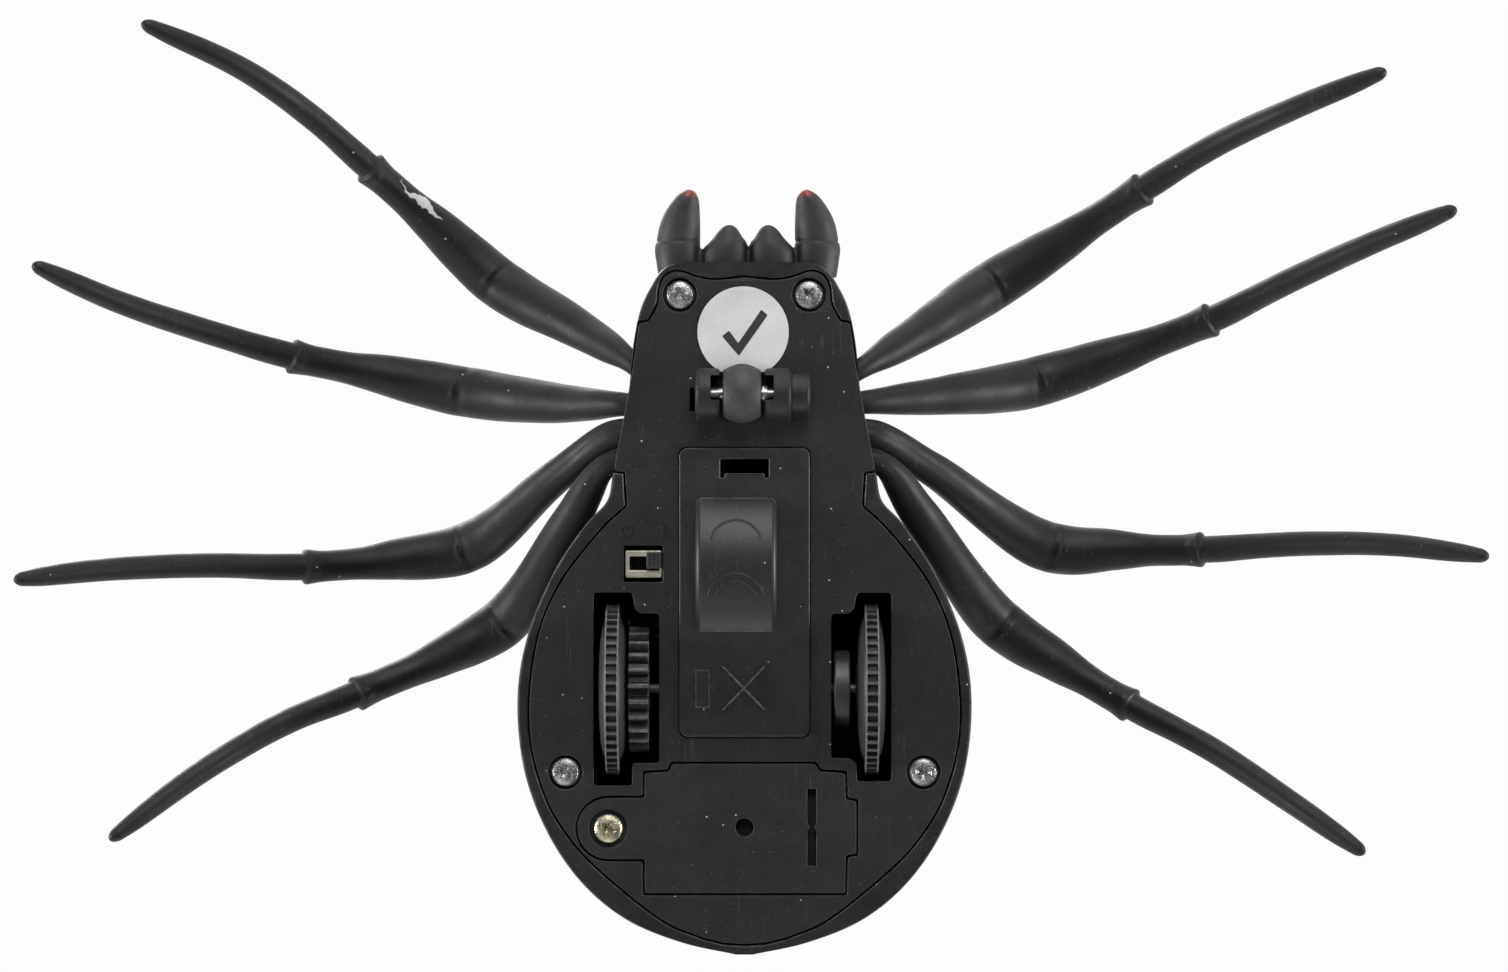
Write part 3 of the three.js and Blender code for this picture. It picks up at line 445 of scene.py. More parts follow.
def moulded(name, colour, rough, grain=(2.2, 0.03), dust=0.4, lip=None, **uniform):
    """Injection-moulded plastic: spark texture, blotchy shading, dust, lint and hairlines, and with lip a
    painted highlight along its lower edge.
    """
    paint = Paint(name, colour, rough, **uniform)
    paint.shade(0.07, 0.14)
    paint.shade(1.6, 0.168)
    paint.roughen(0.35, 0.07)
    per_mm, depth = grain
    paint.grain(per_mm, depth)
    paint.grain(per_mm * 2.6, depth * 0.4, detail=2)
    paint.dusty(dust)
    if lip is not None:
        paint.lip(lip)
    paint.scratches(0.9, 0.4, DUST, 0.2)
    paint.scratches(0.7, 2.1, DUST, 0.15, seed=9)
    return paint.done()


def panel_plastic():
    """The snap-in panel's plastic, which is smoother and glossier on the bulge, with a greenish painted sheen
    there and painted highlights on its raised marks.
    """
    paint = Paint("panel_plastic", (0.0145, 0.0148, 0.015), 0.5, Specular_IOR_Level=0.5)
    paint.shade(0.07, 0.14)
    paint.shade(1.6, 0.16)
    paint.roughen(0.35, 0.07)
    bulge = paint.ranged(paint.at("Z"), PANEL_LOW - 0.2, PANEL_LOW - 0.6)
    paint.set_rough(bulge, 0.44)
    # Painted sheen: the bulge is tinted a lighter grey-green.
    paint.tint(paint.times(bulge, 0.6), (0.0165, 0.018, 0.0178))
    paint.lip(PANEL_LOW)
    # Painted highlight: the raised marks are tinted light grey at their height.
    raised = paint.times(paint.ranged(paint.at("Z"), PANEL_LOW - 0.08, PANEL_LOW - 0.13),
                         paint.ranged(paint.at("Z"), PANEL_LOW - 0.19, PANEL_LOW - 0.17))
    paint.tint(paint.times(raised, paint.ranged(paint.noise(1.2), 0.35, 0.6, 0.2, 0.8)), (0.17, 0.17, 0.165))
    paint.grain(2.2, 0.018)
    paint.dusty(0.4)
    paint.scratches(0.9, 0.4, DUST, 0.3)
    return paint.done()


# The whitened patch on the first right leg: where it starts, its length and its direction in degrees.
WHITE_PATCH = (-50.4, -44.7, 8.4, 41.5)


def soft_vinyl():
    """Semi-matt PVC with flow marks, dust and hairlines, and a white, matt, irregular patch in one place on
    the first right leg.
    """
    paint = Paint("soft_vinyl", (0.0075, 0.0075, 0.0073), 0.55, Specular_IOR_Level=0.34, Sheen_Weight=0.22,
                  Sheen_Roughness=0.35)
    paint.shade(0.05, 0.2)
    paint.shade(0.9, 0.12)
    paint.roughen(0.22, 0.09)
    paint.grain(0.3, 0.03, detail=2)
    paint.grain(3, 0.012)
    paint.specks(0.8, 0.07, DUST, share=0.35)
    paint.specks(0.33, 0.06, PALE_DUST, seed=4, share=0.4)
    paint.scratches(0.8, 0.9, DUST, 0.25)
    paint.scratches(0.8, 2.4, DUST, 0.2, seed=7)
    x, y, length, degrees = WHITE_PATCH
    lean = math.radians(degrees)
    along_leg = (math.cos(lean), math.sin(lean), 0)
    across_leg = (-math.sin(lean), math.cos(lean), 0)
    spot = paint.add("VectorMath", {0: paint.where, 1: (x, y, 0)}, operation="SUBTRACT")
    along = paint.add("VectorMath", {0: spot, 1: along_leg}, "Value", operation="DOT_PRODUCT")
    across = paint.add("VectorMath", {0: spot, 1: across_leg}, "Value", operation="DOT_PRODUCT")
    wander = paint.ranged(paint.noise(0.5, 2), 0.3, 0.7, -0.5, 0.5)
    off = paint.size_of(paint.plus(across, wander))
    swell = paint.ranged(along, 1.2, 5.0, 0.1, 0.9)
    taper = paint.ranged(along, length, length * 0.6)
    ragged = paint.ranged(paint.noise(2.5, 4), 0.3, 0.7, 0.75, 1.2)
    width = paint.times(paint.times(swell, taper), ragged)
    inside = paint.ranged(paint.minus(width, off), 0, 0.12)
    started = paint.ranged(along, 0, 0.2)
    lightened = paint.times(inside, paint.times(started, paint.ranged(paint.at("Z"), 28, 27.5)))
    paint.tint(lightened, (0.58, 0.59, 0.6))
    paint.set_rough(lightened, 0.75)
    return paint.done()


def driven(name, colour, rough, grain, root_shade_radii, root_shade_colour, edge, shade=0.2):
    """Plastic or rubber of a turning part: painted shade between its teeth or rungs, and a painted highlight
    on its edges.
    """
    paint = Paint(name, colour, rough)
    paint.shade(1.1, shade)
    paint.roughen(0.6, 0.08)
    paint.grain(*grain)
    # Painted shade: darker inside the given radii, in the tread's pockets and between the teeth.
    low, high = root_shade_radii
    paint.tint(paint.ranged(paint.from_axle(), high, low), (root_shade_colour,) * 3)
    # Painted highlight on the edges.
    paint.lightened(edge, (0.26, 0.26, 0.255))
    paint.specks(1.3, 0.07, DUST, share=0.3)
    return paint.done()


def metal(name, colour, rough, brush=(1, 12, 12), tarnish=0.2, depth=0.004):
    """Bare or plated metal: fine brushing, patches of duller plating and small pits."""
    paint = Paint(name, colour, rough, metallic=0.8)
    paint.shade(0.9, tarnish)
    paint.roughen(1.2, min(0.1, rough * 0.5))
    paint.grain(2.2, depth, stretch=brush, detail=2)
    paint.specks(2.2, 0.1, tuple(c * 0.45 for c in colour), share=0.35)
    return paint.done()


FANG_SHIFT = 0.85  # the fangs' middle line is half of this off the body's


def jaw_plastic():
    """Moulded plastic with red paint on the fangs' tips."""
    paint = Paint("jaw_plastic", (0.024, 0.024, 0.0245), 0.58)
    paint.shade(0.12, 0.14)
    paint.shade(1.6, 0.16)
    paint.roughen(0.4, 0.06)
    paint.grain(2.4, 0.025)
    paint.specks(1.1, 0.055, DUST, share=0.3)
    edge = paint.plus(paint.at("Y"), paint.ranged(paint.noise(0.8), 0, 1, -0.5, 0.5))
    inward = paint.size_of(paint.minus(paint.at("X"), FANG_SHIFT / 2))
    red = paint.times(paint.ranged(edge, -41.4, -42.0), paint.ranged(inward, 9.6, 8.6))
    paint.tint(red, (0.24, 0.035, 0.018))
    paint.set_rough(red, 0.35)
    return paint.done()


def paper_film():
    """Printed label film: off-white that greys towards the head, with faint fibre and smudges."""
    paint = Paint("paper_film", (0.71, 0.7, 0.685), 0.42)
    paint.tint(paint.ranged(paint.at("Y"), -19, -30, 0, 0.45), (0.5, 0.47, 0.47))
    paint.shade(0.15, 0.1)
    paint.shade(5, 0.05)
    paint.grain(1.2, 0.01, detail=4)
    paint.specks(1.6, 0.07, (0.4, 0.38, 0.37), share=0.15)
    return paint.done()


def plain(name, colour, rough, grain=(4.0, 0.01), **uniform):
    """A clean smooth finish with faint variation."""
    paint = Paint(name, colour, rough, **uniform)
    paint.shade(0.4, 0.12)
    paint.roughen(0.8, 0.05)
    paint.grain(*grain)
    return paint.done()


def board_paint():
    """Green solder mask over faint copper tracks."""
    paint = Paint("board", (0.012, 0.09, 0.035), 0.4)
    paint.shade(0.3, 0.15)
    tracks = paint.ranged(paint.cells(0.35, "DISTANCE_TO_EDGE"), 0.12, 0.1)
    paint.tint(paint.times(tracks, 0.5), (0.03, 0.16, 0.06))
    paint.relief(tracks, 0.02)
    return paint.done()


PAINTS = {
    "chassis": moulded("chassis_plastic", (0.0155, 0.0155, 0.016), 0.54, lip=PLATE_LOW,
                       Specular_IOR_Level=0.36),
    "panel": panel_plastic(),
    "hatch": moulded("hatch_plastic", (0.0165, 0.0165, 0.017), 0.54, lip=PLATE_LOW, Specular_IOR_Level=0.36),
    "shell": moulded("shell_plastic", (0.015, 0.015, 0.0155), 0.4, (2.6, 0.02), lip=PLATE_LOW),
    "frame": moulded("frame_plastic", (0.02, 0.02, 0.021), 0.55),
    "leg": soft_vinyl(),
    "jaw": jaw_plastic(),
    "wheel": moulded("wheel_plastic", (0.037, 0.038, 0.039), 0.38, (2.4, 0.012), dust=0.2),
    # The tyre and the gear: the radii and dark colour give painted shade in their pockets and roots, the next
    # number a painted highlight on their edges.
    "tyre": driven("tyre_rubber", (0.062, 0.063, 0.063), 0.6, (4, 0.05), (11.9, 12.15), 0.032, 0.7, 0.4),
    "gear": driven("gear_plastic", (0.025, 0.026, 0.026), 0.45, (3, 0.015), (8.3, 8.95), 0.004, 0.6),
    "collar": moulded("collar_plastic", (0.033, 0.036, 0.034), 0.42, (3, 0.01), dust=0.2),
    "roller": moulded("roller_rubber", (0.036, 0.038, 0.037), 0.55, (3, 0.03)),
    "steel": metal("pin_steel", (0.55, 0.55, 0.54), 0.34),
    "dull_steel": metal("axle_steel", (0.16, 0.16, 0.16), 0.55),
    "zinc": metal("screw_zinc", (0.42, 0.43, 0.43), 0.24, (3, 3, 3), 0.4, 0.06),
    "yellow_zinc": metal("screw_yellow", (0.5, 0.46, 0.33), 0.26, (3, 3, 3), 0.4, 0.06),
    "brass": metal("brass", (0.62, 0.5, 0.3), 0.32),
    "tinned": metal("tinned_frame", (0.72, 0.68, 0.56), 0.5, (4, 4, 4), 0.15, 0.01),
    "cell": metal("cell_steel", (0.6, 0.6, 0.58), 0.26),
    "liner": plain("liner_film", (0.006, 0.006, 0.006), 0.9, (6.0, 0.05)),
    "paper": paper_film(),
    "ink": plain("label_ink", (0.03, 0.03, 0.032), 0.5),
    "knob": moulded("knob_plastic", (0.035, 0.035, 0.035), 0.5, dust=0.1),
    "board": board_paint(),
    "lamp": plain("lamp_epoxy", (0.32, 0.01, 0.008), 0.12, (2, 0.002), Transmission_Weight=0.4),
    "window": plain("window_epoxy", (0.012, 0.004, 0.006), 0.12, (2, 0.002), Coat_Weight=0.6),
    "red_wire": plain("red_sleeve", (0.36, 0.012, 0.01), 0.45),
    "black_wire": plain("black_sleeve", (0.015, 0.015, 0.015), 0.45),
}

# ---------------------------------------------------------------- chassis plate
COVER_CORNERS = mirrored([tuple(p) for p in [
    *spline([(0, -30), (4.2, -29.6), (6.8, -30), (9.4, -30.8), (11.2, -30.2), (12, -28.6), (12.3, -26.2),
             (13.6, -23.7)], 48, 0),
    (15, -23.5), (15.9, -17), (17.2, -10), (18.5, -3.1), (18.4, -2.4), (17, -2.3),
    *spline([(16.7, 2.6), (20.5, 6.2), (25.8, 13), (29, 20), (30.5, 28.8), (30.3, 36.5), (28.3, 43.8),
             (25.4, 49), (21, 54), (12, 61.3), (6, 64)], 60, 0),
    (3, 64.75), (0, 64.95)]])
COVER = rounded(COVER_CORNERS, 0.35)
SLOT_RIGHT = rounded([(-21.5, 14.9), (-16, 14.9), (-15.6, 17.2), (-15, 17.9), (-12.15, 17.9),
                      (-12.15, 39.2), (-16, 39.2), (-16, 42.4), (-21.5, 42.4)], 0.5)
SLOT_LEFT = rounded([(20.9, 14.9), (16, 14.9), (15.6, 17.2), (15, 17.9), (12.35, 17.9), (12.35, 38.5),
                     (15, 38.5), (16, 39.2), (16, 41.8), (20.9, 41.8)], 0.5)
EAR_R = 4.35
DOOR_GAP = 0.34
DOOR_CORNERS = [(15.9, 52.1), (15.9, 44.6), (14.4, 44.4), (14.3, 40.6), (10.7, 40.4), (10.1, 39.3),
                (-10.3, 39.3), (-10.7, 40.4), (-14.2, 40.6), (-14.2, CELL_Y - EAR_R),
                *circle(*DOOR_SCREW, EAR_R, 24, -math.pi / 2, -math.pi),
                (-14.2, CELL_Y + EAR_R), (-14.2, 57.7), (14.3, 57.7), (14.4, 52.3)]
DOOR = rounded(DOOR_CORNERS, 0.35)
LID = [(11.6, 37.9), (-11.6, 37.9), (-11.6, 39.5), (-15.4, 39.5), (-15.4, 42.75),
       *circle(*DOOR_SCREW, 5.75, 24, -math.pi / 2, -math.pi), (-15.6, 54.25), (-15.6, 59.1), (15.7, 59.1),
       (15.7, 53.6), (17.3, 53.6), (17.3, 43), (14.9, 43), (14.9, 38.9), (11.6, 38.9)]
TRAY_RIGHT = box_outline(-14, 9.8, 42, 55)
TRAY_LEFT = box_outline(11, 14, 42.1, 54.9)
RECESS_R = 2.45
PILOT_R = 1.35
BOSS_R = 2.7
# Each lug: its two sides in X, its radius, and the side that is slotted for the pin, or None.
LUGS = [(-6.9, -3.45, 3.55, -3.45), (2.8, 6.65, 3.55, 2.8), (6.3, 9.3, 2.8, None)]
PIN_ENDS = (-6.1, 8.1)
PIN_R = 0.78
PIN_SLOT = 1.35
PIN_PLAY = 0.1


def lug(x0, x1, radius, slotted):
    """A round-ended lug that hangs below the plate and carries the roller's pin."""
    arc = circle(ROLLER_Y, ROLLER_R, radius, 28, math.pi, math.pi)
    profile = [(ROLLER_Y + radius + 0.75, PLATE_LOW + 1), (ROLLER_Y - radius, PLATE_LOW + 1), *arc]
    solid = along_x(flat(profile, [], x0, x1, 0.6, 5))
    if slotted is None:
        return solid
    slot = box_outline(slotted - PIN_SLOT, slotted + PIN_SLOT, ROLLER_Y - 2.55, ROLLER_Y + 0.95, 0.2, 3)
    return boolean(solid, [flat(slot, [], -1, ROLLER_R + 1.2)], "DIFFERENCE")


def bottom_cover():
    """The plate with its lugs, screw cups, marks, roller pocket and battery tray."""
    holes = [SLOT_RIGHT, SLOT_LEFT, rounded(grown(DOOR_CORNERS, DOOR_GAP), 0.35),
             box_outline(-PANEL_X - PANEL_GAP, PANEL_X + PANEL_GAP, PANEL_ENDS[0] - PANEL_GAP,
                         PANEL_ENDS[1] + PANEL_GAP, 1.2),
             box_outline(-17.2, -11.65, 8.2, 13.4, 0.3, 3),
             box_outline(-7.75, -7.05, -14.3, -10.9, 0.15, 3),
             box_outline(ROLLER_X - 3.1, ROLLER_X + 3.1, ROLLER_Y - 3, ROLLER_Y + 3, 0.5, 3),
             *[circle(x, y, RECESS_R) for x, y in COVER_SCREWS]]
    plate = flat(COVER, holes, PLATE_LOW, PLATE_HIGH, 0.14)
    ledge = flat(box_outline(-10.4, 10.4, -6.8, 36.5, 1), [box_outline(-8.4, 8.4, -4.8, 34.5, 0.6)],
                 PLATE_HIGH - 0.9, PLATE_HIGH - 0.1)
    lid = flat(LID, [grown(TRAY_RIGHT, 0.05), grown(TRAY_LEFT, 0.05), circle(*DOOR_SCREW, PILOT_R + 0.05)],
               PLATE_HIGH - 0.3, PLATE_HIGH + 1)
    tray = flat(box_outline(-15, 15, 41, 56, 1), [TRAY_RIGHT, TRAY_LEFT], PLATE_HIGH + 0.3, 21.2)
    roof = flat(box_outline(-15.1, 15.1, 40.9, 56.1, 1), [], 20.95, 22)
    pocket = flat(box_outline(ROLLER_X - 4.2, ROLLER_X + 4.2, ROLLER_Y - 4.2, ROLLER_Y + 4.2, 0.5), [],
                  PLATE_HIGH - 0.1, 10.1)
    cups = [flat(circle(x, y, BOSS_R + 0.2), [circle(x, y, PILOT_R)], PLATE_LOW + 1, PLATE_HIGH - 0.05)
            for x, y in COVER_SCREWS]
    boss = flat(circle(*DOOR_SCREW, BOSS_R), [circle(*DOOR_SCREW, PILOT_R)], PLATE_HIGH + 0.3, 17)
    marks = [(circle(-16.9, 6.2, 0.9, 32), [circle(-16.9, 6.2, 0.6, 32)]),
             (box_outline(-11.8, -11.45, 5.35, 7.05), [])]
    raised = [flat(outline, inner, PLATE_LOW - 0.12, PLATE_LOW + 0.3, 0.06, 2) for outline, inner in marks]
    solid = boolean(plate, [ledge, lid, tray, roof, pocket, boss, *cups, *[lug(*l) for l in LUGS], *raised],
                    "UNION")
    bore = cylinder(PIN_R + PIN_PLAY, PIN_ENDS[0] - PIN_PLAY, PIN_ENDS[1] + PIN_PLAY, 48)
    return boolean(solid, [along_x(bore, 0, ROLLER_Y, ROLLER_R)], "DIFFERENCE")


place("chassis", bottom_cover(), "chassis", replaces=["bottom_cover"], angle=18)


# ---------------------------------------------------------------- centre cover and battery door
HUMP_X = (-7.0, 4.6)
HUMP_R = 14
HUMP_WALL = 1.2
HUMP_Z = PANEL_LOW + math.sqrt(HUMP_R ** 2 - 9.6 ** 2)


def hump_point(x, along, lift=0.0):
    """A place on the arched bulge: along is the distance from its crown, towards the tail."""
    angle = along / HUMP_R
    radius = HUMP_R + lift
    return x, MOTOR_Y + radius * math.sin(angle), HUMP_Z - radius * math.cos(angle)


def hump_stroke(points, radius):
    """A rounded raised stroke on the bulge through (x, along) points."""
    p = np.array([hump_point(x, a, 0.02) for x, a in points])
    tangent = np.gradient(p, axis=0)
    tangent /= np.linalg.norm(tangent, axis=1)[:, None]
    out = np.array([hump_point(x, a, 1) for x, a in points]) - np.array([hump_point(x, a) for x, a in points])
    side = np.cross(tangent, out)
    angles = np.linspace(0, FULL_TURN, 8, endpoint=False)
    return loft([[p[i] + radius * (math.cos(a) * side[i] + 0.6 * math.sin(a) * out[i]) for a in angles]
                 for i in range(len(p))])


def hump_block(radius, x0, x1, edge):
    """The bulge as a solid with rounded sides, which ends inside the panel."""
    reach = math.acos((HUMP_Z - PANEL_HIGH + 0.2) / HUMP_R)
    rings = []
    for side, sign in [(x0, 1), (x1, -1)]:
        for turn in np.linspace(0, math.pi / 2, 7)[::sign]:
            ring_r = radius - edge * (1 - math.sin(turn))
            arc = circle(MOTOR_Y, HUMP_Z, ring_r, 60, -math.pi / 2 - reach, 2 * reach)
            rings.append([(side + sign * edge * (1 - math.cos(turn)), y, z) for y, z in arc])
    return loft(rings)


def centre_cover():
    """The snap-in panel with its latch slot, hollow bulge and raised marks."""
    notched = [(-3.45, -4.1), (3.45, -4.1), (3.45, -1.5), (2.85, -1.5), (2.85, -2.1), (-2.85, -2.1),
               (-2.85, -1.5), (-3.45, -1.5)]
    panel = flat(box_outline(-PANEL_X, PANEL_X, *PANEL_ENDS, 1.2), [rounded(notched, 0.12, 2)], PANEL_LOW,
                 PANEL_HIGH, 0.22, 3)
    outer = hump_block(HUMP_R, *HUMP_X, 0.9)
    inner_x = (HUMP_X[0] + HUMP_WALL, HUMP_X[1] - HUMP_WALL)
    inner = hump_block(HUMP_R - HUMP_WALL, *inner_x, 0.3)
    top = flat(box_outline(*inner_x, 3.5, 18.3), [], 6.9, 8.6)
    low, high = PANEL_LOW - 0.16, PANEL_LOW + 0.3
    bar = box_outline(-1.05, 1.05, -2.75, 2.75)
    marks = [moved(flat(bar, [box_outline(-0.8, 0.8, -2.5, 2.5)], low + 0.06, high, 0.05, 1), -6, 28.6)]
    for turn in (-0.77, 0.77):
        stroke = flat(box_outline(-0.15, 0.15, -4.3, 4.3, 0.1, 2), [], low, high, 0.07, 2)
        stroke.transform(Matrix.Translation((-0.1, 28.5, 0)) @ Matrix.Rotation(turn, 4, "Z"))
        marks.append(stroke)
    centre_x = (HUMP_X[0] + HUMP_X[1]) / 2
    arcs = [hump_stroke(circle(centre_x, centre, radius, 28, math.pi + 0.2, math.pi - 0.4), 0.2)
            for centre, radius in [(-3.1, 3.5), (5.2, 4.0), (5.2, 2.9)]]
    shaped = boolean(boolean(panel, [outer], "UNION"), [inner, top], "DIFFERENCE")
    return joined([shaped, *marks, *arcs])


place("snap_panel", centre_cover(), "panel", replaces=["centre_cover"], angle=10)


def battery_door():
    """The door with its ear, its peephole, and its slit, which is pinched in the middle."""
    x, half, start, end = 9.58, 0.64, 42.85, 53.8
    pinch, slope = 48.35, 0.6
    right = [(x + half, start), (x + half, pinch - slope), (x + half / 2, pinch), (x + half, pinch + slope),
             (x + half, end)]
    slit = right + [(2 * x - a, b) for a, b in reversed(right)]
    body = flat(DOOR, [slit, circle(0, pinch, 1.3), circle(*DOOR_SCREW, 2.75)], PLATE_LOW, 8.9, 0.14)
    seat = flat(circle(*DOOR_SCREW, 3.1), [circle(*DOOR_SCREW, PILOT_R)], PLATE_LOW + 0.7, 8.85)
    return boolean(body, [seat], "UNION")


place("hatch", battery_door(), "hatch", "battery_hatch", ["battery_door"], 18)
# A thin liner film on the door's inner face.
place("hatch_pad", flat(box_outline(-13.6, 13.6, 42.3, 54.7, 1), [], 8.92, 8.97), "liner",
      "battery_hatch")


# ---------------------------------------------------------------- upper shell
# Cross-sections from head to tail: half width, Y and the height of the back.
BODY = spline([(8.6, -32.1, 14.2), (10.6, -31.8, 15), (12.3, -30.6, 17.6), (13.4, -28.9, 19.8),
               (14.8, -26, 22.1), (15.9, -21, 25.3), (16.6, -14, 27), (17.8, -7, 26.2), (18.9, -2, 24.2),
               (19.6, 1.6, 25.2), (22.6, 5, 29.6), (27.3, 12, 35.2), (31.2, 21.5, 39.2), (32.5, 30, 40.35),
               (31.6, 40, 38.8), (28.4, 48.8, 34.8), (23.4, 56.2, 29.2), (17, 61.5, 23.6), (9, 64.8, 18),
               (1.5, 66.45, 13.6)], 150)
RECEIVER_Y = 13
BODY_MIDDLE = 17
BODY_HALF_LENGTH = 49.5
OVER_STEPS = 64


def sculpt(x, y):
    """How far the back is pressed in (negative) or raised at a place, in millimetres."""
    side = np.abs(x)
    depth = -0.55 * hump(side, 0, 0.5) * hump(y, -12, 5)
    for lean, start in [(0.55, -19), (0.15, -14), (-0.35, -9), (-0.9, -6)]:
        line = (y - start + lean * (side - 1) * 1.2)
        depth = depth - 0.5 * hump(line, 0, 0.75) * hump(side, 7, 4.5)
    for ex, ey, size in [(1.5, -28.4, 0.9), (6.6, -26.2, 0.8), (2.3, -24.2, 0.8), (6.2, -22.6, 0.7)]:
        depth = depth + 0.7 * np.exp(-(((side - ex) ** 2 + (y - ey) ** 2) / size ** 2) ** 2)
    for ey in [14, 24, 33, 41]:
        depth = depth - 0.7 * np.exp(-((side - 6.5) ** 2 + (y - ey) ** 2) / 3.2)
    depth = depth - 0.35 * hump(side, 0, 0.8) * hump(y, 28, 14)
    for fold in [47, 50.5, 54, 57.5]:
        depth = depth - 0.3 * hump(y - fold + 0.012 * side ** 2, 0, 0.6) * hump(side, 0, 13)
    return depth


def body_ring(half_width, y, back, inset, low, sculpted):
    """One cross-section of the shell, or of its hollow when there is an inset."""
    fullness = 2.3 - 0.75 * math.exp(-((y - 0.5) / 4.5) ** 2)
    power = 2 / fullness
    width = max(half_width - inset, 0.3)
    rise = back - inset - BELT
    y = BODY_MIDDLE + (y - BODY_MIDDLE) * (1 - inset / BODY_HALF_LENGTH)
    angles = np.linspace(0, math.pi, OVER_STEPS + 1)
    across = width * np.abs(np.cos(angles)) ** power * np.sign(np.cos(angles))
    up = BELT + rise * np.sin(angles) ** power
    if sculpted:
        fade = np.clip((np.sin(angles) - 0.25) / 0.4, 0, 1)
        depth = sculpt(across, y) * fade
        across = across * (1 + depth / 30)
        up = up + depth * np.sin(angles)
    foot = max(width - (0 if inset else RIM_INSET), 0.2)
    edge = [(foot - min(0.4, foot / 2), low), (foot - min(0.12, foot / 4), low + 0.12), (foot, low + 0.4),
            (foot + 0.3 * (width - foot), low + 2), (foot + 0.75 * (width - foot), low + 3.8)]
    if inset:
        edge = [(foot, low)]
    ring = [(x, z) for x, z in edge] + list(zip(across, up)) + [(-x, z) for x, z in reversed(edge)]
    nose = 0.5 * np.clip((-27 - y) / 5, 0, 1)
    return [(x, y + nose * (1 - min(1, (x / 8) ** 2)), z) for x, z in ring]


def body_form(inset, low, sculpted=False, every=1):
    return loft([body_ring(*station, inset, low, sculpted) for station in BODY[::every]])


def flared(outline, offsets):
    """A cutter whose outline grows by a given distance at each height, so that it leaves a rounded edge."""
    return loft([[(x, y, z) for x, y in grown(outline, distance)] for distance, z in offsets])


def upper_shell():
    outside = body_form(0, PLATE_LOW, True)
    inside = body_form(WALL, PLATE_HIGH + GAP, every=3)
    recess = flared(COVER_CORNERS, [(GAP + 0.22, PLATE_LOW - 1), (GAP + 0.16, PLATE_LOW),
                                    (GAP + 0.02, PLATE_LOW + 0.12), (GAP - 0.04, PLATE_LOW + 0.3),
                                    (GAP - 0.04, PLATE_HIGH + GAP + 0.02)])
    door = flat(grown(LID, 0.4), [], PLATE_LOW + 0.6, PLATE_HIGH + 1.4)
    window = moved(cylinder(2.9, 28, 42, 48), 0, RECEIVER_Y)
    sockets = [leg_form(name, 2.0, 0.25, 24) for name in LEGS]
    lamps = [in_brow(cylinder(1.8, -4, 4, 32), side) for side in (-1, 1)]
    return boolean(outside, [inside, recess, door, window, *sockets, *lamps], "DIFFERENCE")


def in_brow(mesh, side):
    """Moves what is drawn about Z to an eye's place in the brow."""
    mesh.transform(Matrix.Translation((side * 4.2, -27, 21)) @ Matrix.Rotation(0.9, 4, "X"))
    return mesh


# ---------------------------------------------------------------- legs
LAST = 8  # stations are numbered 0, in the body, to 8, at the tip
LEGS = {
    "leg_right_1": [(-13.5, -15, 12), (-15.8, -17.6, 12.5), (-24.3, -23.2, 22), (-36, -30, 30.5),
                    (-45.5, -38.5, 29), (-54.5, -46.5, 23.5), (-62.8, -53.8, 17.5), (-72, -60, 9.5),
                    (-85.3, -65.8, 2.2)],
    "leg_right_2": [(-14.5, -12, 12), (-17.5, -12, 12.5), (-27, -12.3, 21.5), (-41, -14.1, 30.5),
                    (-53.5, -16.7, 29.5), (-66, -19.2, 25), (-78, -22.7, 18.5), (-89.5, -26.6, 10.5),
                    (-100.7, -31.6, 2.2)],
    "leg_right_3": [(-15, -8.6, 12), (-19, -8.2, 12.5), (-27, -2.3, 19), (-40.5, 8.6, 30.5), (-52, 10.6, 29),
                    (-64, 11.5, 24), (-78, 11.2, 17.5), (-91.5, 11.7, 10), (-103.3, 13, 2.2)],
    "leg_right_4": [(-15.5, -4.8, 12), (-20, -3.3, 12.5), (-25.4, 5, 18), (-35, 19.3, 30.5), (-44, 24.6, 29),
                    (-56.5, 30, 24), (-66.5, 34, 17.5), (-77.5, 40.5, 10), (-89.8, 49.8, 2.2)],
    "leg_left_1": [(13.5, -15, 12), (16.7, -17.1, 12.5), (26, -22.9, 22), (36, -29.5, 30.5), (46.5, -36, 29),
                   (58, -43.5, 23.5), (68, -49.5, 17.5), (78, -54, 9.5), (90.8, -59, 2.2)],
    "leg_left_2": [(14.5, -12, 12), (17.5, -12.3, 12.5), (29.5, -13.5, 21.5), (42, -15.4, 30.5),
                   (55, -19.5, 29), (68, -24.5, 24.5), (78.5, -29.8, 18), (89, -34.7, 10.5),
                   (100.7, -39.5, 2.2)],
    "leg_left_3": [(15, -8.6, 12), (19, -8.2, 12.5), (27.3, -3, 19), (44.5, 8.6, 30.5), (55, 9.1, 29),
                   (66.5, 9, 24), (79.5, 8.1, 17.5), (92, 8.1, 10), (105.3, 9.7, 2.2)],
    "leg_left_4": [(15.5, -4.8, 12), (20, -3.5, 12.5), (25.4, 3.8, 18), (37, 19.5, 30.5), (46.5, 25.9, 29),
                   (56.1, 31.7, 24), (67, 37.5, 17.5), (77.5, 44.5, 10), (87.7, 51.7, 2.2)],
}
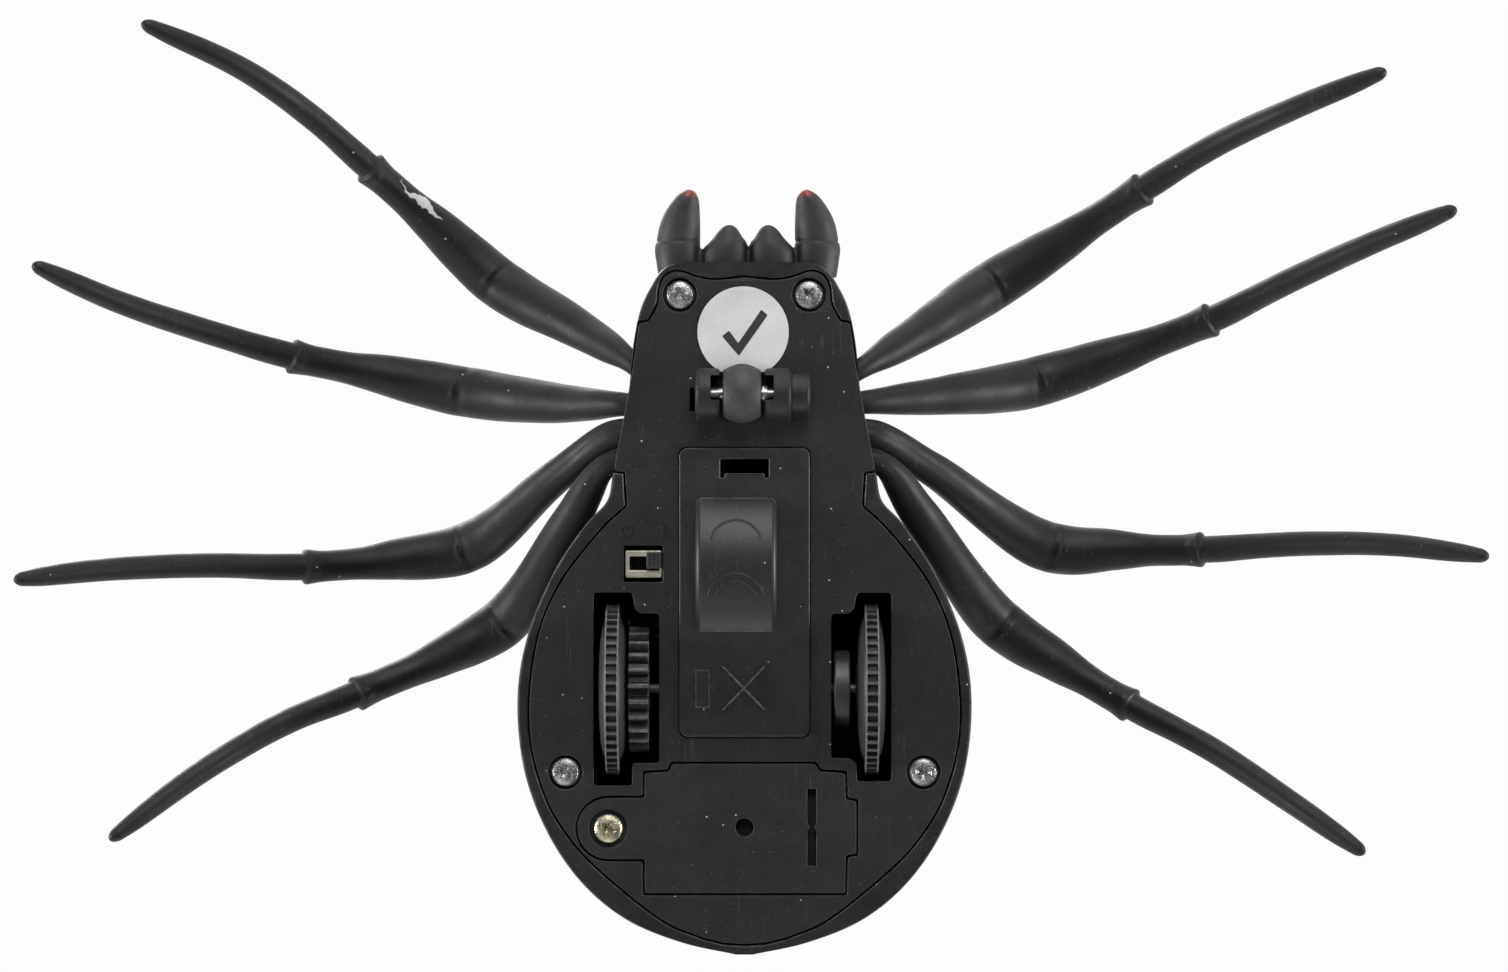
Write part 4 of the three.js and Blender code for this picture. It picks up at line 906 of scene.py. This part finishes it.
# Radii of each pair from where it leaves the body to above the knee, and then along any leg.
THIGHS = {"1": [(0, 1.4), (1, 1.5), (1.5, 2.3), (1.8, 2.65), (2.2, 3.15), (2.6, 3.5)],
          "2": [(0, 1.6), (1, 1.75), (1.5, 2.3), (1.8, 2.65), (2.2, 3.15), (2.6, 3.5)],
          "3": [(0, 1.4), (1, 1.5), (1.5, 1.7), (2, 2.15), (2.5, 2.9), (2.8, 3.45)],
          "4": [(0, 1.4), (1, 1.5), (1.5, 2.15), (2, 2.7), (2.5, 3.2), (2.8, 3.55)]}
KNEE_GIRTH = [(3, 3.7), (3.3, 3.65), (3.6, 3.4), (4, 2.9), (4.4, 2.35), (4.7, 2.28), (5.3, 2.28)]
FOOT_GIRTH = [(4.9, 1.95), (5.2, 1.94), (5.6, 1.84), (6, 1.8), (6.5, 1.71), (7, 1.64), (7.4, 1.53),
              (7.7, 1.33), (7.9, 1.05), (8, 0.9)]
# Stations where a knee's collar starts to flare and where it ends, and where the tip starts to close.
LIP_START = 4.76
ANKLE = 5.0
TIP_START = 7.9
COLLAR_R = 2.62
# How much thicker a hind leg is towards the tail, where it lies close to its neighbour or the abdomen.
TAILWARD = {"3": [(0, 1.2), (1, 1.25), (1.5, 1.1), (2, 0.7), (2.5, 0.2), (3, 0)],
            "4": [(0, 0.5), (1, 0.5), (1.5, 0.4), (2, 0.2), (2.5, 0), (3, 0)]}


def leg_radius(t, pair):
    """The leg's radius at a station number, without its knee fold and nubs."""
    above = smooth_table([*THIGHS[pair], *KNEE_GIRTH], t)
    lip = (COLLAR_R - KNEE_GIRTH[-1][1]) * np.clip((t - LIP_START) / (ANKLE - LIP_START), 0, 1) ** 1.6
    step = np.clip((t - ANKLE) / 0.035, 0, 1)
    radius = (above + lip) * (1 - step) + smooth_table(FOOT_GIRTH, t) * step
    tip = np.clip((t - TIP_START) / 0.095, 0, 1)
    return radius * np.sqrt(np.maximum(1 - tip ** 2, 0.0004))


def leg_form(name, end=7.995, margin=0.0, sides=40):
    """A leg from its plug to a station, thickened by a margin."""
    stations = np.linspace(0, end, int(22 * end) + 1)
    if end > ANKLE:
        stations = np.unique(np.concatenate([stations, np.linspace(4.74, 5.12, 24), np.linspace(2.8, 3.3, 40),
                                             np.linspace(7.85, end, 16)]))
    path = spline(LEGS[name], LAST * 100)
    steps = np.linspace(0, LAST, LAST * 100 + 1)
    centre = np.stack([np.interp(stations, steps, path[:, k]) for k in range(3)], axis=1)
    slope = np.gradient(path, axis=0)
    tangent = np.stack([np.interp(stations, steps, slope[:, k]) for k in range(3)], axis=1)
    tangent /= np.linalg.norm(tangent, axis=1)[:, None]
    upward = np.array([0, 0, 1.0]) - tangent[:, 2:3] * tangent
    upward /= np.linalg.norm(upward, axis=1)[:, None]
    side = np.cross(tangent, upward)
    t = stations[:, None]
    a = np.linspace(0, FULL_TURN, sides, endpoint=False)[None, :]
    under = np.clip(-np.sin(a) * 1.3 + 0.2, 0, 1)
    radius = leg_radius(stations, name[-1])[:, None] + margin + 0 * a
    if not margin:
        nub = (a - 1.5 * math.pi) * radius
        radius = radius - 0.16 * hump(t, 3.0, 0.07) * under
        for place_t, aside in [(3.1, -0.75), (3.1, 0.75)]:
            radius = radius + 0.3 * np.exp(-((nub - aside) / 0.42) ** 2 - ((t - place_t) / 0.045) ** 2)
        radius = radius + 0.35 * np.exp(-((nub - 0.5) / 0.6) ** 2 - ((t - 4.93) / 0.05) ** 2)
        if name[-1] in TAILWARD:
            tailward = np.clip(np.cos(a) if "right" in name else -np.cos(a), 0, 1)
            radius = radius + smooth_table(TAILWARD[name[-1]], t) * tailward
        radius = radius * (1 + 0.008 * np.sin(5.1 * t + 2 * a) + 0.005 * np.sin(11 * t - 3 * a + len(name)))
    rings = centre[:, None] + radius[..., None] * (np.cos(a)[..., None] * side[:, None]
                                                   + np.sin(a)[..., None] * upward[:, None])
    return loft(rings)


for name in LEGS:
    place("soft_" + name, leg_form(name), "leg", replaces=[name], angle=60, even=False)

place("back_shell", upper_shell(), "shell", replaces=["upper_shell"], angle=40)


# ---------------------------------------------------------------- jaws
def smoothed(mesh, voxel, rounds):
    """Melts overlapping closed bodies into one skin with soft creases."""
    holder = link(bpy.data.objects.new("melt", mesh))
    remesh = holder.modifiers.new("remesh", "REMESH")
    remesh.mode = "VOXEL"
    remesh.voxel_size = voxel
    soften = holder.modifiers.new("soften", "SMOOTH")
    soften.factor = 0.5
    soften.iterations = rounds
    made = evaluated(holder)
    bpy.data.objects.remove(holder)
    return made


def lobe(stations):
    """A blunt lobe along -Y: stations give y, inner and outer X edges, mid height and half thickness."""
    rings = []
    angles = np.linspace(0, FULL_TURN, 40, endpoint=False)
    for y, x0, x1, z, thick in spline(stations, 60):
        middle, half, thick = (x0 + x1) / 2, max((x1 - x0) / 2, 0.03), max(thick, 0.03)
        rings.append(np.stack([middle + half * np.cos(angles), 0 * angles + y, z + thick * np.sin(angles)],
                              axis=1))
    return loft(rings)


def jaws():
    """Two fangs and two feelers, melted into the web that holds them."""
    palp_middle = 0.575
    fang = [(-30.2, 7.3, 13.2, 13.2, 2.8), (-32.2, 7.25, 13.5, 13.3, 3), (-34.3, 7.2, 13.75, 13.3, 3.1),
            (-35.5, 7.2, 13.5, 13.3, 3.1), (-37.7, 7.2, 13.05, 13, 2.9), (-39.5, 7.25, 12.3, 12.6, 2.5),
            (-41, 7.35, 11.3, 12, 2), (-41.9, 7.6, 10.5, 11.6, 1.5), (-42.45, 8, 9.7, 11.3, 0.9),
            (-42.7, 8.6, 9.1, 11.2, 0.4)]
    palp = [(-30.2, -6.2, 0.4, 12.7, 2.5), (-34.2, -5.95, 0.45, 12.6, 2.6), (-35.2, -5.1, 0.3, 12.4, 2.3),
            (-35.9, -4.45, -0.25, 12.2, 1.9), (-36.7, -3.85, -0.75, 11.9, 1.4),
            (-37.3, -3.25, -1.2, 11.7, 0.9), (-37.65, -2.6, -1.8, 11.5, 0.4)]
    left = lobe(fang)
    right = lobe([(y, -x1 + FANG_SHIFT, -x0 + FANG_SHIFT, z, thick) for y, x0, x1, z, thick in fang])
    inner = lobe(palp)
    outer = lobe([(y, 2 * palp_middle - x1, 2 * palp_middle - x0, z, thick) for y, x0, x1, z, thick in palp])
    web = moved(flat(box_outline(-11.5, 12, -34.25, -30.2, 0.8), [], 12, 15.2, 0.8, 4))
    pegs = []
    for x in (-5.2, 5.2):
        peg = cylinder(1.6, -31.5, -28.4, 32)
        peg.transform(Matrix.Translation((x, 0, 11.6)) @ Matrix.Rotation(-math.pi / 2, 4, "X"))
        pegs.append(peg)
    melted = smoothed(joined([left, right, inner, outer, web, *pegs]), 0.18, 5)
    points = np.empty(3 * len(melted.vertices), np.float32)
    normals = points.copy()
    melted.vertices.foreach_get("co", points)
    melted.vertices.foreach_get("normal", normals)
    points, normals = points.reshape(-1, 3), normals.reshape(-1, 3)
    groove = 0.14 * hump(points[:, 1], -35.35, 0.16) * (np.abs(points[:, 0]) > 6.9)
    points = points - normals * groove[:, None]
    melted.vertices.foreach_set("co", points.ravel())
    return melted


place("jaw_moulding", jaws(), "jaw", replaces=["jaws"], angle=70, even=False)


# ---------------------------------------------------------------- screws and sticker
def screw(x, y, low, turn):
    """A pan-head screw, head down, with a tapered cross recess and ring threads."""
    thread = []
    z = low + 1.1
    while z < 15.2:
        thread += [(1.02, z), (1.18, z + 0.3), (1.02, z + 0.6)]
        z += 0.75
    head = [(0, low), (1.0, low + 0.02), (1.6, low + 0.12), (1.93, low + 0.3), (2.08, low + 0.52),
            (2.08, low + 0.76), (1.98, low + 0.85), (1.15, low + 0.85)]
    body = moved(turned([*head, *thread, (0.3, 16), (0, 16)], 48), x, y)
    cross = []
    for quarter in range(4):
        for px, py in [(1.22, -0.3), (1.22, 0.3), (0.42, 0.42)]:
            angle = turn + quarter * math.pi / 2
            cos, sin = math.cos(angle), math.sin(angle)
            cross.append((px * cos - py * sin, px * sin + py * cos))
    rings = [[(x + px * size, y + py * size, low + z) for px, py in cross]
             for size, z in [(1.04, -0.2), (1, 0.04), (0.72, 0.45), (0.4, 0.72)]]
    return boolean(body, [loft(rings)], "DIFFERENCE")


for number, (x, y) in enumerate(COVER_SCREWS, 1):
    place(f"pan_screw_{number}", screw(x, y, PLATE_LOW + 0.05, 0.3 + 0.45 * number), "zinc",
          replaces=[f"cover_screw_{number}"])
place("hatch_screw", screw(*DOOR_SCREW, PLATE_LOW - 0.25, 0.55), "yellow_zinc",
      "battery_hatch", ["door_screw"])


def check_sticker():
    """A round label whose edge is cut straight beside the roller's slot."""
    x, y, radius, cut_y = -0.2, -22.2, 6.5, -16.5
    lean = math.asin((cut_y - y) / radius)
    ring = circle(x, y, radius, 90, math.pi - lean, math.pi + 2 * lean)
    return flat(ring, [], PLATE_LOW - 0.14, PLATE_LOW - 0.02, 0.03, 1)


def tick_mark():
    stroke = [(-3.2, -21.6), (-2.2, -22.4), (-0.9, -20.6), (2.4, -25.4), (3.3, -24.6), (-0.8, -18.8)]
    return flat(rounded(stroke, 0.2, 3), [], PLATE_LOW - 0.155, PLATE_LOW - 0.13)


place("round_label", check_sticker(), "paper", replaces=["check_sticker"])
place("label_tick", tick_mark(), "ink")


# ---------------------------------------------------------------- nose roller
def nose_roller():
    """A crowned roller with flat sides."""
    r, half, bore = ROLLER_R, 2.75, PIN_R + 0.12
    side = [(bore, -half + 0.5), (bore + 0.3, -half + 0.1), (1.9, -half), (3.0, -half), (3.2, -half + 0.06),
            (3.42, -half + 0.28), (3.62, -half + 0.65), (3.86, -half + 1.15), (4.08, -half + 1.8),
            (r - 0.04, -half + 2.3)]
    profile = side + [(radius, -x) for radius, x in reversed(side)]
    return along_x(tube([(radius, x) for radius, x in profile], 72), ROLLER_X, ROLLER_Y, ROLLER_R)


def nose_pin():
    """A plain pin with a shoulder beside the roller."""
    shoulder = ROLLER_X + 2.82
    start, end = PIN_ENDS
    profile = [(0, start), (PIN_R - 0.12, start), (PIN_R, start + 0.12), (PIN_R, shoulder), (1.0, shoulder),
               (1.08, shoulder + 0.08), (1.08, shoulder + 0.75), (1.0, shoulder + 0.83),
               (PIN_R, shoulder + 0.83), (PIN_R, end - 0.12), (PIN_R - 0.12, end), (0, end)]
    return along_x(turned(profile, 40), 0, ROLLER_Y, ROLLER_R)


place("ball_roller", nose_roller(), "roller", "roller", ["nose_roller"], angle=50)
place("nose_pin", nose_pin(), "steel", replaces=["roller_pin"])


# ---------------------------------------------------------------- wheels and their axle


def wheel_disc(x, bore):
    """A lens-shaped disc with a hub, a raised bead and a groove inside its rim."""
    half = [(bore, 2.2), (3.4, 2.2), (3.6, 2.05), (3.9, 1.95), (6.5, 1.9), (8.6, 1.72), (9.6, 1.5),
            (10.2, 1.24), (10.5, 1.02), (10.62, 0.86), (10.8, 0.86), (10.92, 1.0), (11.35, 0.98)]
    profile = [(r, -w) for r, w in half] + [(r, w) for r, w in reversed(half)]
    return along_x(tube(profile, 128), x, AXLE_Y, AXLE_Z)


def tyre(x):
    """A narrow tread: two thin side rails, with rungs and square pockets between them."""
    edge, rail, pocket, depth, pitches = 0.98, 0.78, 0.68, 0.62, 52
    section = [(-edge, 10.95, 0), (-edge, 12.2, 0), (-edge + 0.07, 12.38, 0), (-rail - 0.04, 12.5, 0),
               (-rail, 12.48, 0), (-pocket, 12.4, 1), (pocket, 12.4, 1), (rail, 12.48, 0),
               (rail + 0.04, 12.5, 0), (edge - 0.07, 12.38, 0), (edge, 12.2, 0), (edge, 10.95, 0),
               (0, 11.0, 0)]
    rows = []
    for pitch in range(pitches):
        for share, sunk in [(0, 0), (0.26, 0), (0.34, depth), (0.92, depth)]:
            angle = FULL_TURN * (pitch + share) / pitches
            rows.append([(w, (r - sunk * deep) * math.cos(angle), (r - sunk * deep) * math.sin(angle))
                         for w, r, deep in section])
    points = np.array(rows)
    count, width = points.shape[:2]
    index = np.arange(count * width).reshape(count, width)
    beside = np.roll(index, -1, axis=0)
    quads = np.stack([index, np.roll(index, -1, axis=1), np.roll(beside, -1, axis=1), beside], axis=-1)
    return moved(outward(mesh_of(points.reshape(-1, 3), quads.reshape(-1, 4))), x, AXLE_Y, AXLE_Z)


def gear_outline(teeth, module, phase):
    """Rounded spur teeth, thinned for backlash, with one tooth at the phase angle."""
    pitch = teeth * module / 2
    tip, root = pitch + module * 0.85, pitch - module * 1.2
    flank = pitch - module * 0.3
    corners = [(-0.3, root), (-0.21, flank), (-0.11, tip), (0.11, tip), (0.21, flank), (0.3, root)]
    ring = []
    for i in range(teeth):
        for share, radius in corners:
            angle = phase + (i + share) * FULL_TURN / teeth
            ring.append((radius * math.cos(angle), radius * math.sin(angle)))
    return rounded(ring, 0.12, 3)


def pinion_direction():
    """The angle from the axle to the reduction gear, above the line from the motor to the axle."""
    motor, axle = complex(MOTOR_Y, 14.9), complex(AXLE_Y, AXLE_Z)
    to_motor, to_axle = 9.58, 11.28
    span = abs(axle - motor)
    along = (to_motor ** 2 - to_axle ** 2 + span ** 2) / (2 * span)
    reduction = motor + (axle - motor) / span * complex(along, math.sqrt(to_motor ** 2 - along ** 2))
    return math.atan2((reduction - axle).imag, (reduction - axle).real)


def wheel_gear():
    """A dished gear with a tooth towards the pinion, so that it stays in mesh with the CAD's."""
    body = flat(gear_outline(24, 0.7, pinion_direction()), [circle(0, 0, 0.85, 32)], -16.5, -13.6, 0.14, 2)
    dishes = [flat(circle(0, 0, 6.4, 64), [circle(0, 0, 3, 48)], low, high)
              for low, high in [(-14.6, -13), (-17, -15.9)]]
    return along_x(boolean(body, dishes, "DIFFERENCE"), 0, AXLE_Y, AXLE_Z)


def axle_collar():
    profile = [(0.85, 12.7), (4.9, 12.7), (5.35, 12.85), (5.5, 13.0), (5.5, 14.8), (5.35, 15.0), (4.9, 15.1),
               (0.85, 15.1)]
    return along_x(tube(profile, 96), 0, AXLE_Y, AXLE_Z)


def wheel_axle():
    start, end, radius, chamfer = -20.6, 20.2, 0.75, 0.15
    profile = [(0, start), (radius - chamfer, start), (radius, start + chamfer), (radius, end - chamfer),
               (radius - chamfer, end), (0, end)]
    return along_x(turned(profile, 40), 0, AXLE_Y, AXLE_Z)


for side, x, bore, body in [("right", WHEEL_RIGHT_X, 0.85, "drive_axle"),
                            ("left", WHEEL_LEFT_X, 0.87, "left_wheel")]:
    place("disc_" + side, wheel_disc(x, bore), "wheel", body, ["wheel_" + side], 40)
    place("tread_" + side, tyre(x), "tyre", body, ["tyre_" + side], 30)
place("spur_gear", wheel_gear(), "gear", "drive_axle", ["wheel_gear"], 30)
place("smooth_collar", axle_collar(), "collar", "drive_axle", ["axle_collar"], 40)
place("wheel_axle", wheel_axle(), "dull_steel", "drive_axle", ["axle"])


# ---------------------------------------------------------------- slide switch
def switch_frame():
    """A folded tinned frame round the slot that the knob slides in."""
    edge = box_outline(-17, -11.8, 8.9, 12.8, 0.25, 3)
    plate = flat(edge, [box_outline(-16.35, -12, 9.75, 11.75, 0.12, 2)], 8.2, 8.8, 0.12)
    walls = flat(edge, [box_outline(-16.6, -12.2, 9.3, 12.4, 0.1, 2)], 8.7, 11.6, 0.05)
    return boolean(plate, [walls], "UNION")


def switch_body():
    """The dark moulded body behind the frame, with the well that the knob slides in."""
    body = flat(box_outline(-16.9, -11.9, 9, 12.7, 0.2, 3), [], 10.2, 11.8, 0.05)
    well = flat(box_outline(-16.2, -12.2, 9.9, 11.6, 0.1, 3), [], 9.9, 11.2)
    return boolean(body, [well], "DIFFERENCE")


def switch_knob():
    thumb = flat(box_outline(-13.95, -11.85, 9.1, 11.5, 0.2, 3), [], 7.3, 8.05, 0.14)
    stem = flat(box_outline(-13.5, -12.35, 9.95, 11.4, 0.1, 2), [], 7.9, 9.8)
    grooves = [flat(box_outline(x, x + 0.22, 9.35, 11.25, 0.1, 2), [], 7, 7.5) for x in (-13.55, -13, -12.45)]
    return boolean(boolean(thumb, [stem], "UNION"), grooves, "DIFFERENCE")


place("tinned_frame", switch_frame(), "tinned", replaces=["switch_case"])
place("switch_body", switch_body(), "frame")
place("slide_knob", switch_knob(), "knob", "switch_knob", ["switch_slider"])

# ---------------------------------------------------------------- lamps, receiver and the CAD's inner pieces
def domed(radius, low, shoulder, rise, angles, top, sides):
    """A round post with a domed top."""
    dome = [(radius * math.cos(a), shoulder + rise * math.sin(a)) for a in angles]
    return turned([(0, low), (radius, low), (radius, shoulder), *dome, (0, top)], sides)


for side, sign in [("right", -1), ("left", 1)]:
    lamp = domed(1.5, -3.2, 0.2, 1.4, np.linspace(0.15, 1.5, 10), 1.6, 40)
    place("lamp_" + side, in_brow(lamp, sign), "lamp", replaces=["eye_lamp_" + side])

receiver = domed(2.6, 28.6, 35.4, 1.45, np.linspace(0.1, 1.5, 12), 36.87, 56)
place("receiver_dome", moved(receiver, 0, RECEIVER_Y), "window", replaces=["ir_receiver"])

KEPT = {"reduction_gear": "collar", "gear_pin": "steel", "motor_pinion": "brass", "motor_shaft": "steel",
        "motor": "steel", "gearbox_frame": "frame", "circuit_board": "board", "contact_plate": "tinned",
        "contact_spring": "steel", **{f"button_cell_{number}": "cell" for number in (1, 2, 3, 4)},
        **{f"{end}_wire_{colour}": colour + "_wire"
           for end in ("motor", "battery") for colour in ("red", "black")}}
for node, look in KEPT.items():
    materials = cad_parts[node].data.materials
    materials.clear()
    materials.append(PAINTS[look])

# ---------------------------------------------------------------- floor, camera and light
CAMERA_X = 0.00135
CAMERA_Y = -0.00028
CAMERA_DISTANCE = 0.7
VIEW_WIDTH = 0.2147  # what the frame spans at the plate
SENSOR_WIDTH = 36


def one_sided_floor():
    """A pale floor that is seen from above and lets the view from below through."""
    material = bpy.data.materials.new("pale_floor")
    material.use_nodes = True
    tree = material.node_tree
    shader = tree.nodes["Principled BSDF"]
    shader.inputs["Base Color"].default_value = (0.82, 0.82, 0.81, 1)
    shader.inputs["Roughness"].default_value = 0.8
    below = add_node(tree, "NewGeometry", output="Backfacing")
    clear = add_node(tree, "BsdfTransparent")
    mix = add_node(tree, "MixShader", {0: below, 1: shader.outputs[0], 2: clear})
    feed(tree.nodes["Material Output"].inputs["Surface"], mix)
    half = 1.5
    mesh = mesh_of([(x, y, 0) for x, y in box_outline(-half, half, -half, half)], [(0, 1, 2, 3)])
    mesh.materials.append(material)
    floor = link(bpy.data.objects.new("pale_floor", mesh))
    floor.visible_diffuse = False
    floor.visible_glossy = False
    floor.visible_transmission = False
    floor.visible_shadow = False


def area_light(name, where, size, watts):
    light = bpy.data.lights.new(name, "AREA")
    light.shape = "DISK"
    light.size = size
    light.energy = watts
    lamp = link(bpy.data.objects.new(name, light))
    lamp.location = where
    lamp.rotation_euler = (Vector((0, 0, 0.01)) - Vector(where)).to_track_quat("-Z", "Y").to_euler()
    lamp.visible_camera = False


def surroundings(above, below):
    """A bright studio above and all round, and a dim one underneath, where the camera stands."""
    world = bpy.data.worlds.new("studio")
    world.use_nodes = True
    tree = world.node_tree
    where = add_node(tree, "TexCoord", output="Generated")
    rise = add_node(tree, "SeparateXYZ", {0: where}, "Z")
    level = add_node(tree, "MapRange", {"Value": rise, "From Min": -0.42, "From Max": -0.02, "To Min": below,
                                        "To Max": above}, interpolation_type="SMOOTHSTEP")
    background = tree.nodes["Background"].inputs
    background["Color"].default_value = (1, 1, 1, 1)
    feed(background["Strength"], level)
    bpy.context.scene.world = world


one_sided_floor()
surroundings(0.98, 0.045)
# Each light: its name, its place and size in metres, and its watts.
for light in [("key_below", (0.06, -0.5, -0.5), 0.45, 2.8), ("fill_below", (-0.25, 0.5, -0.45), 0.6, 1.1),
              ("head_low", (0, -0.5, -0.1), 0.25, 0.5), ("tail_low", (0, 0.55, -0.03), 0.25, 0.5),
              ("side_right", (-0.5, 0.02, -0.12), 0.2, 2.0), ("side_left", (0.5, 0.02, -0.12), 0.2, 2.0),
              ("soft_above", (-0.4, -0.5, 0.8), 0.6, 6.0)]:
    area_light(*light)

camera = link(bpy.data.objects.new("camera", bpy.data.cameras.new("camera")))
camera.location = (CAMERA_X, CAMERA_Y, PLATE_LOW * MM - CAMERA_DISTANCE)
camera.rotation_euler = (math.pi, 0, 0)
camera.data.sensor_width = SENSOR_WIDTH
camera.data.lens = SENSOR_WIDTH * CAMERA_DISTANCE / VIEW_WIDTH
camera.data.clip_start = 0.01
bpy.context.scene.camera = camera
bpy.context.scene.view_settings.view_transform = "Standard"
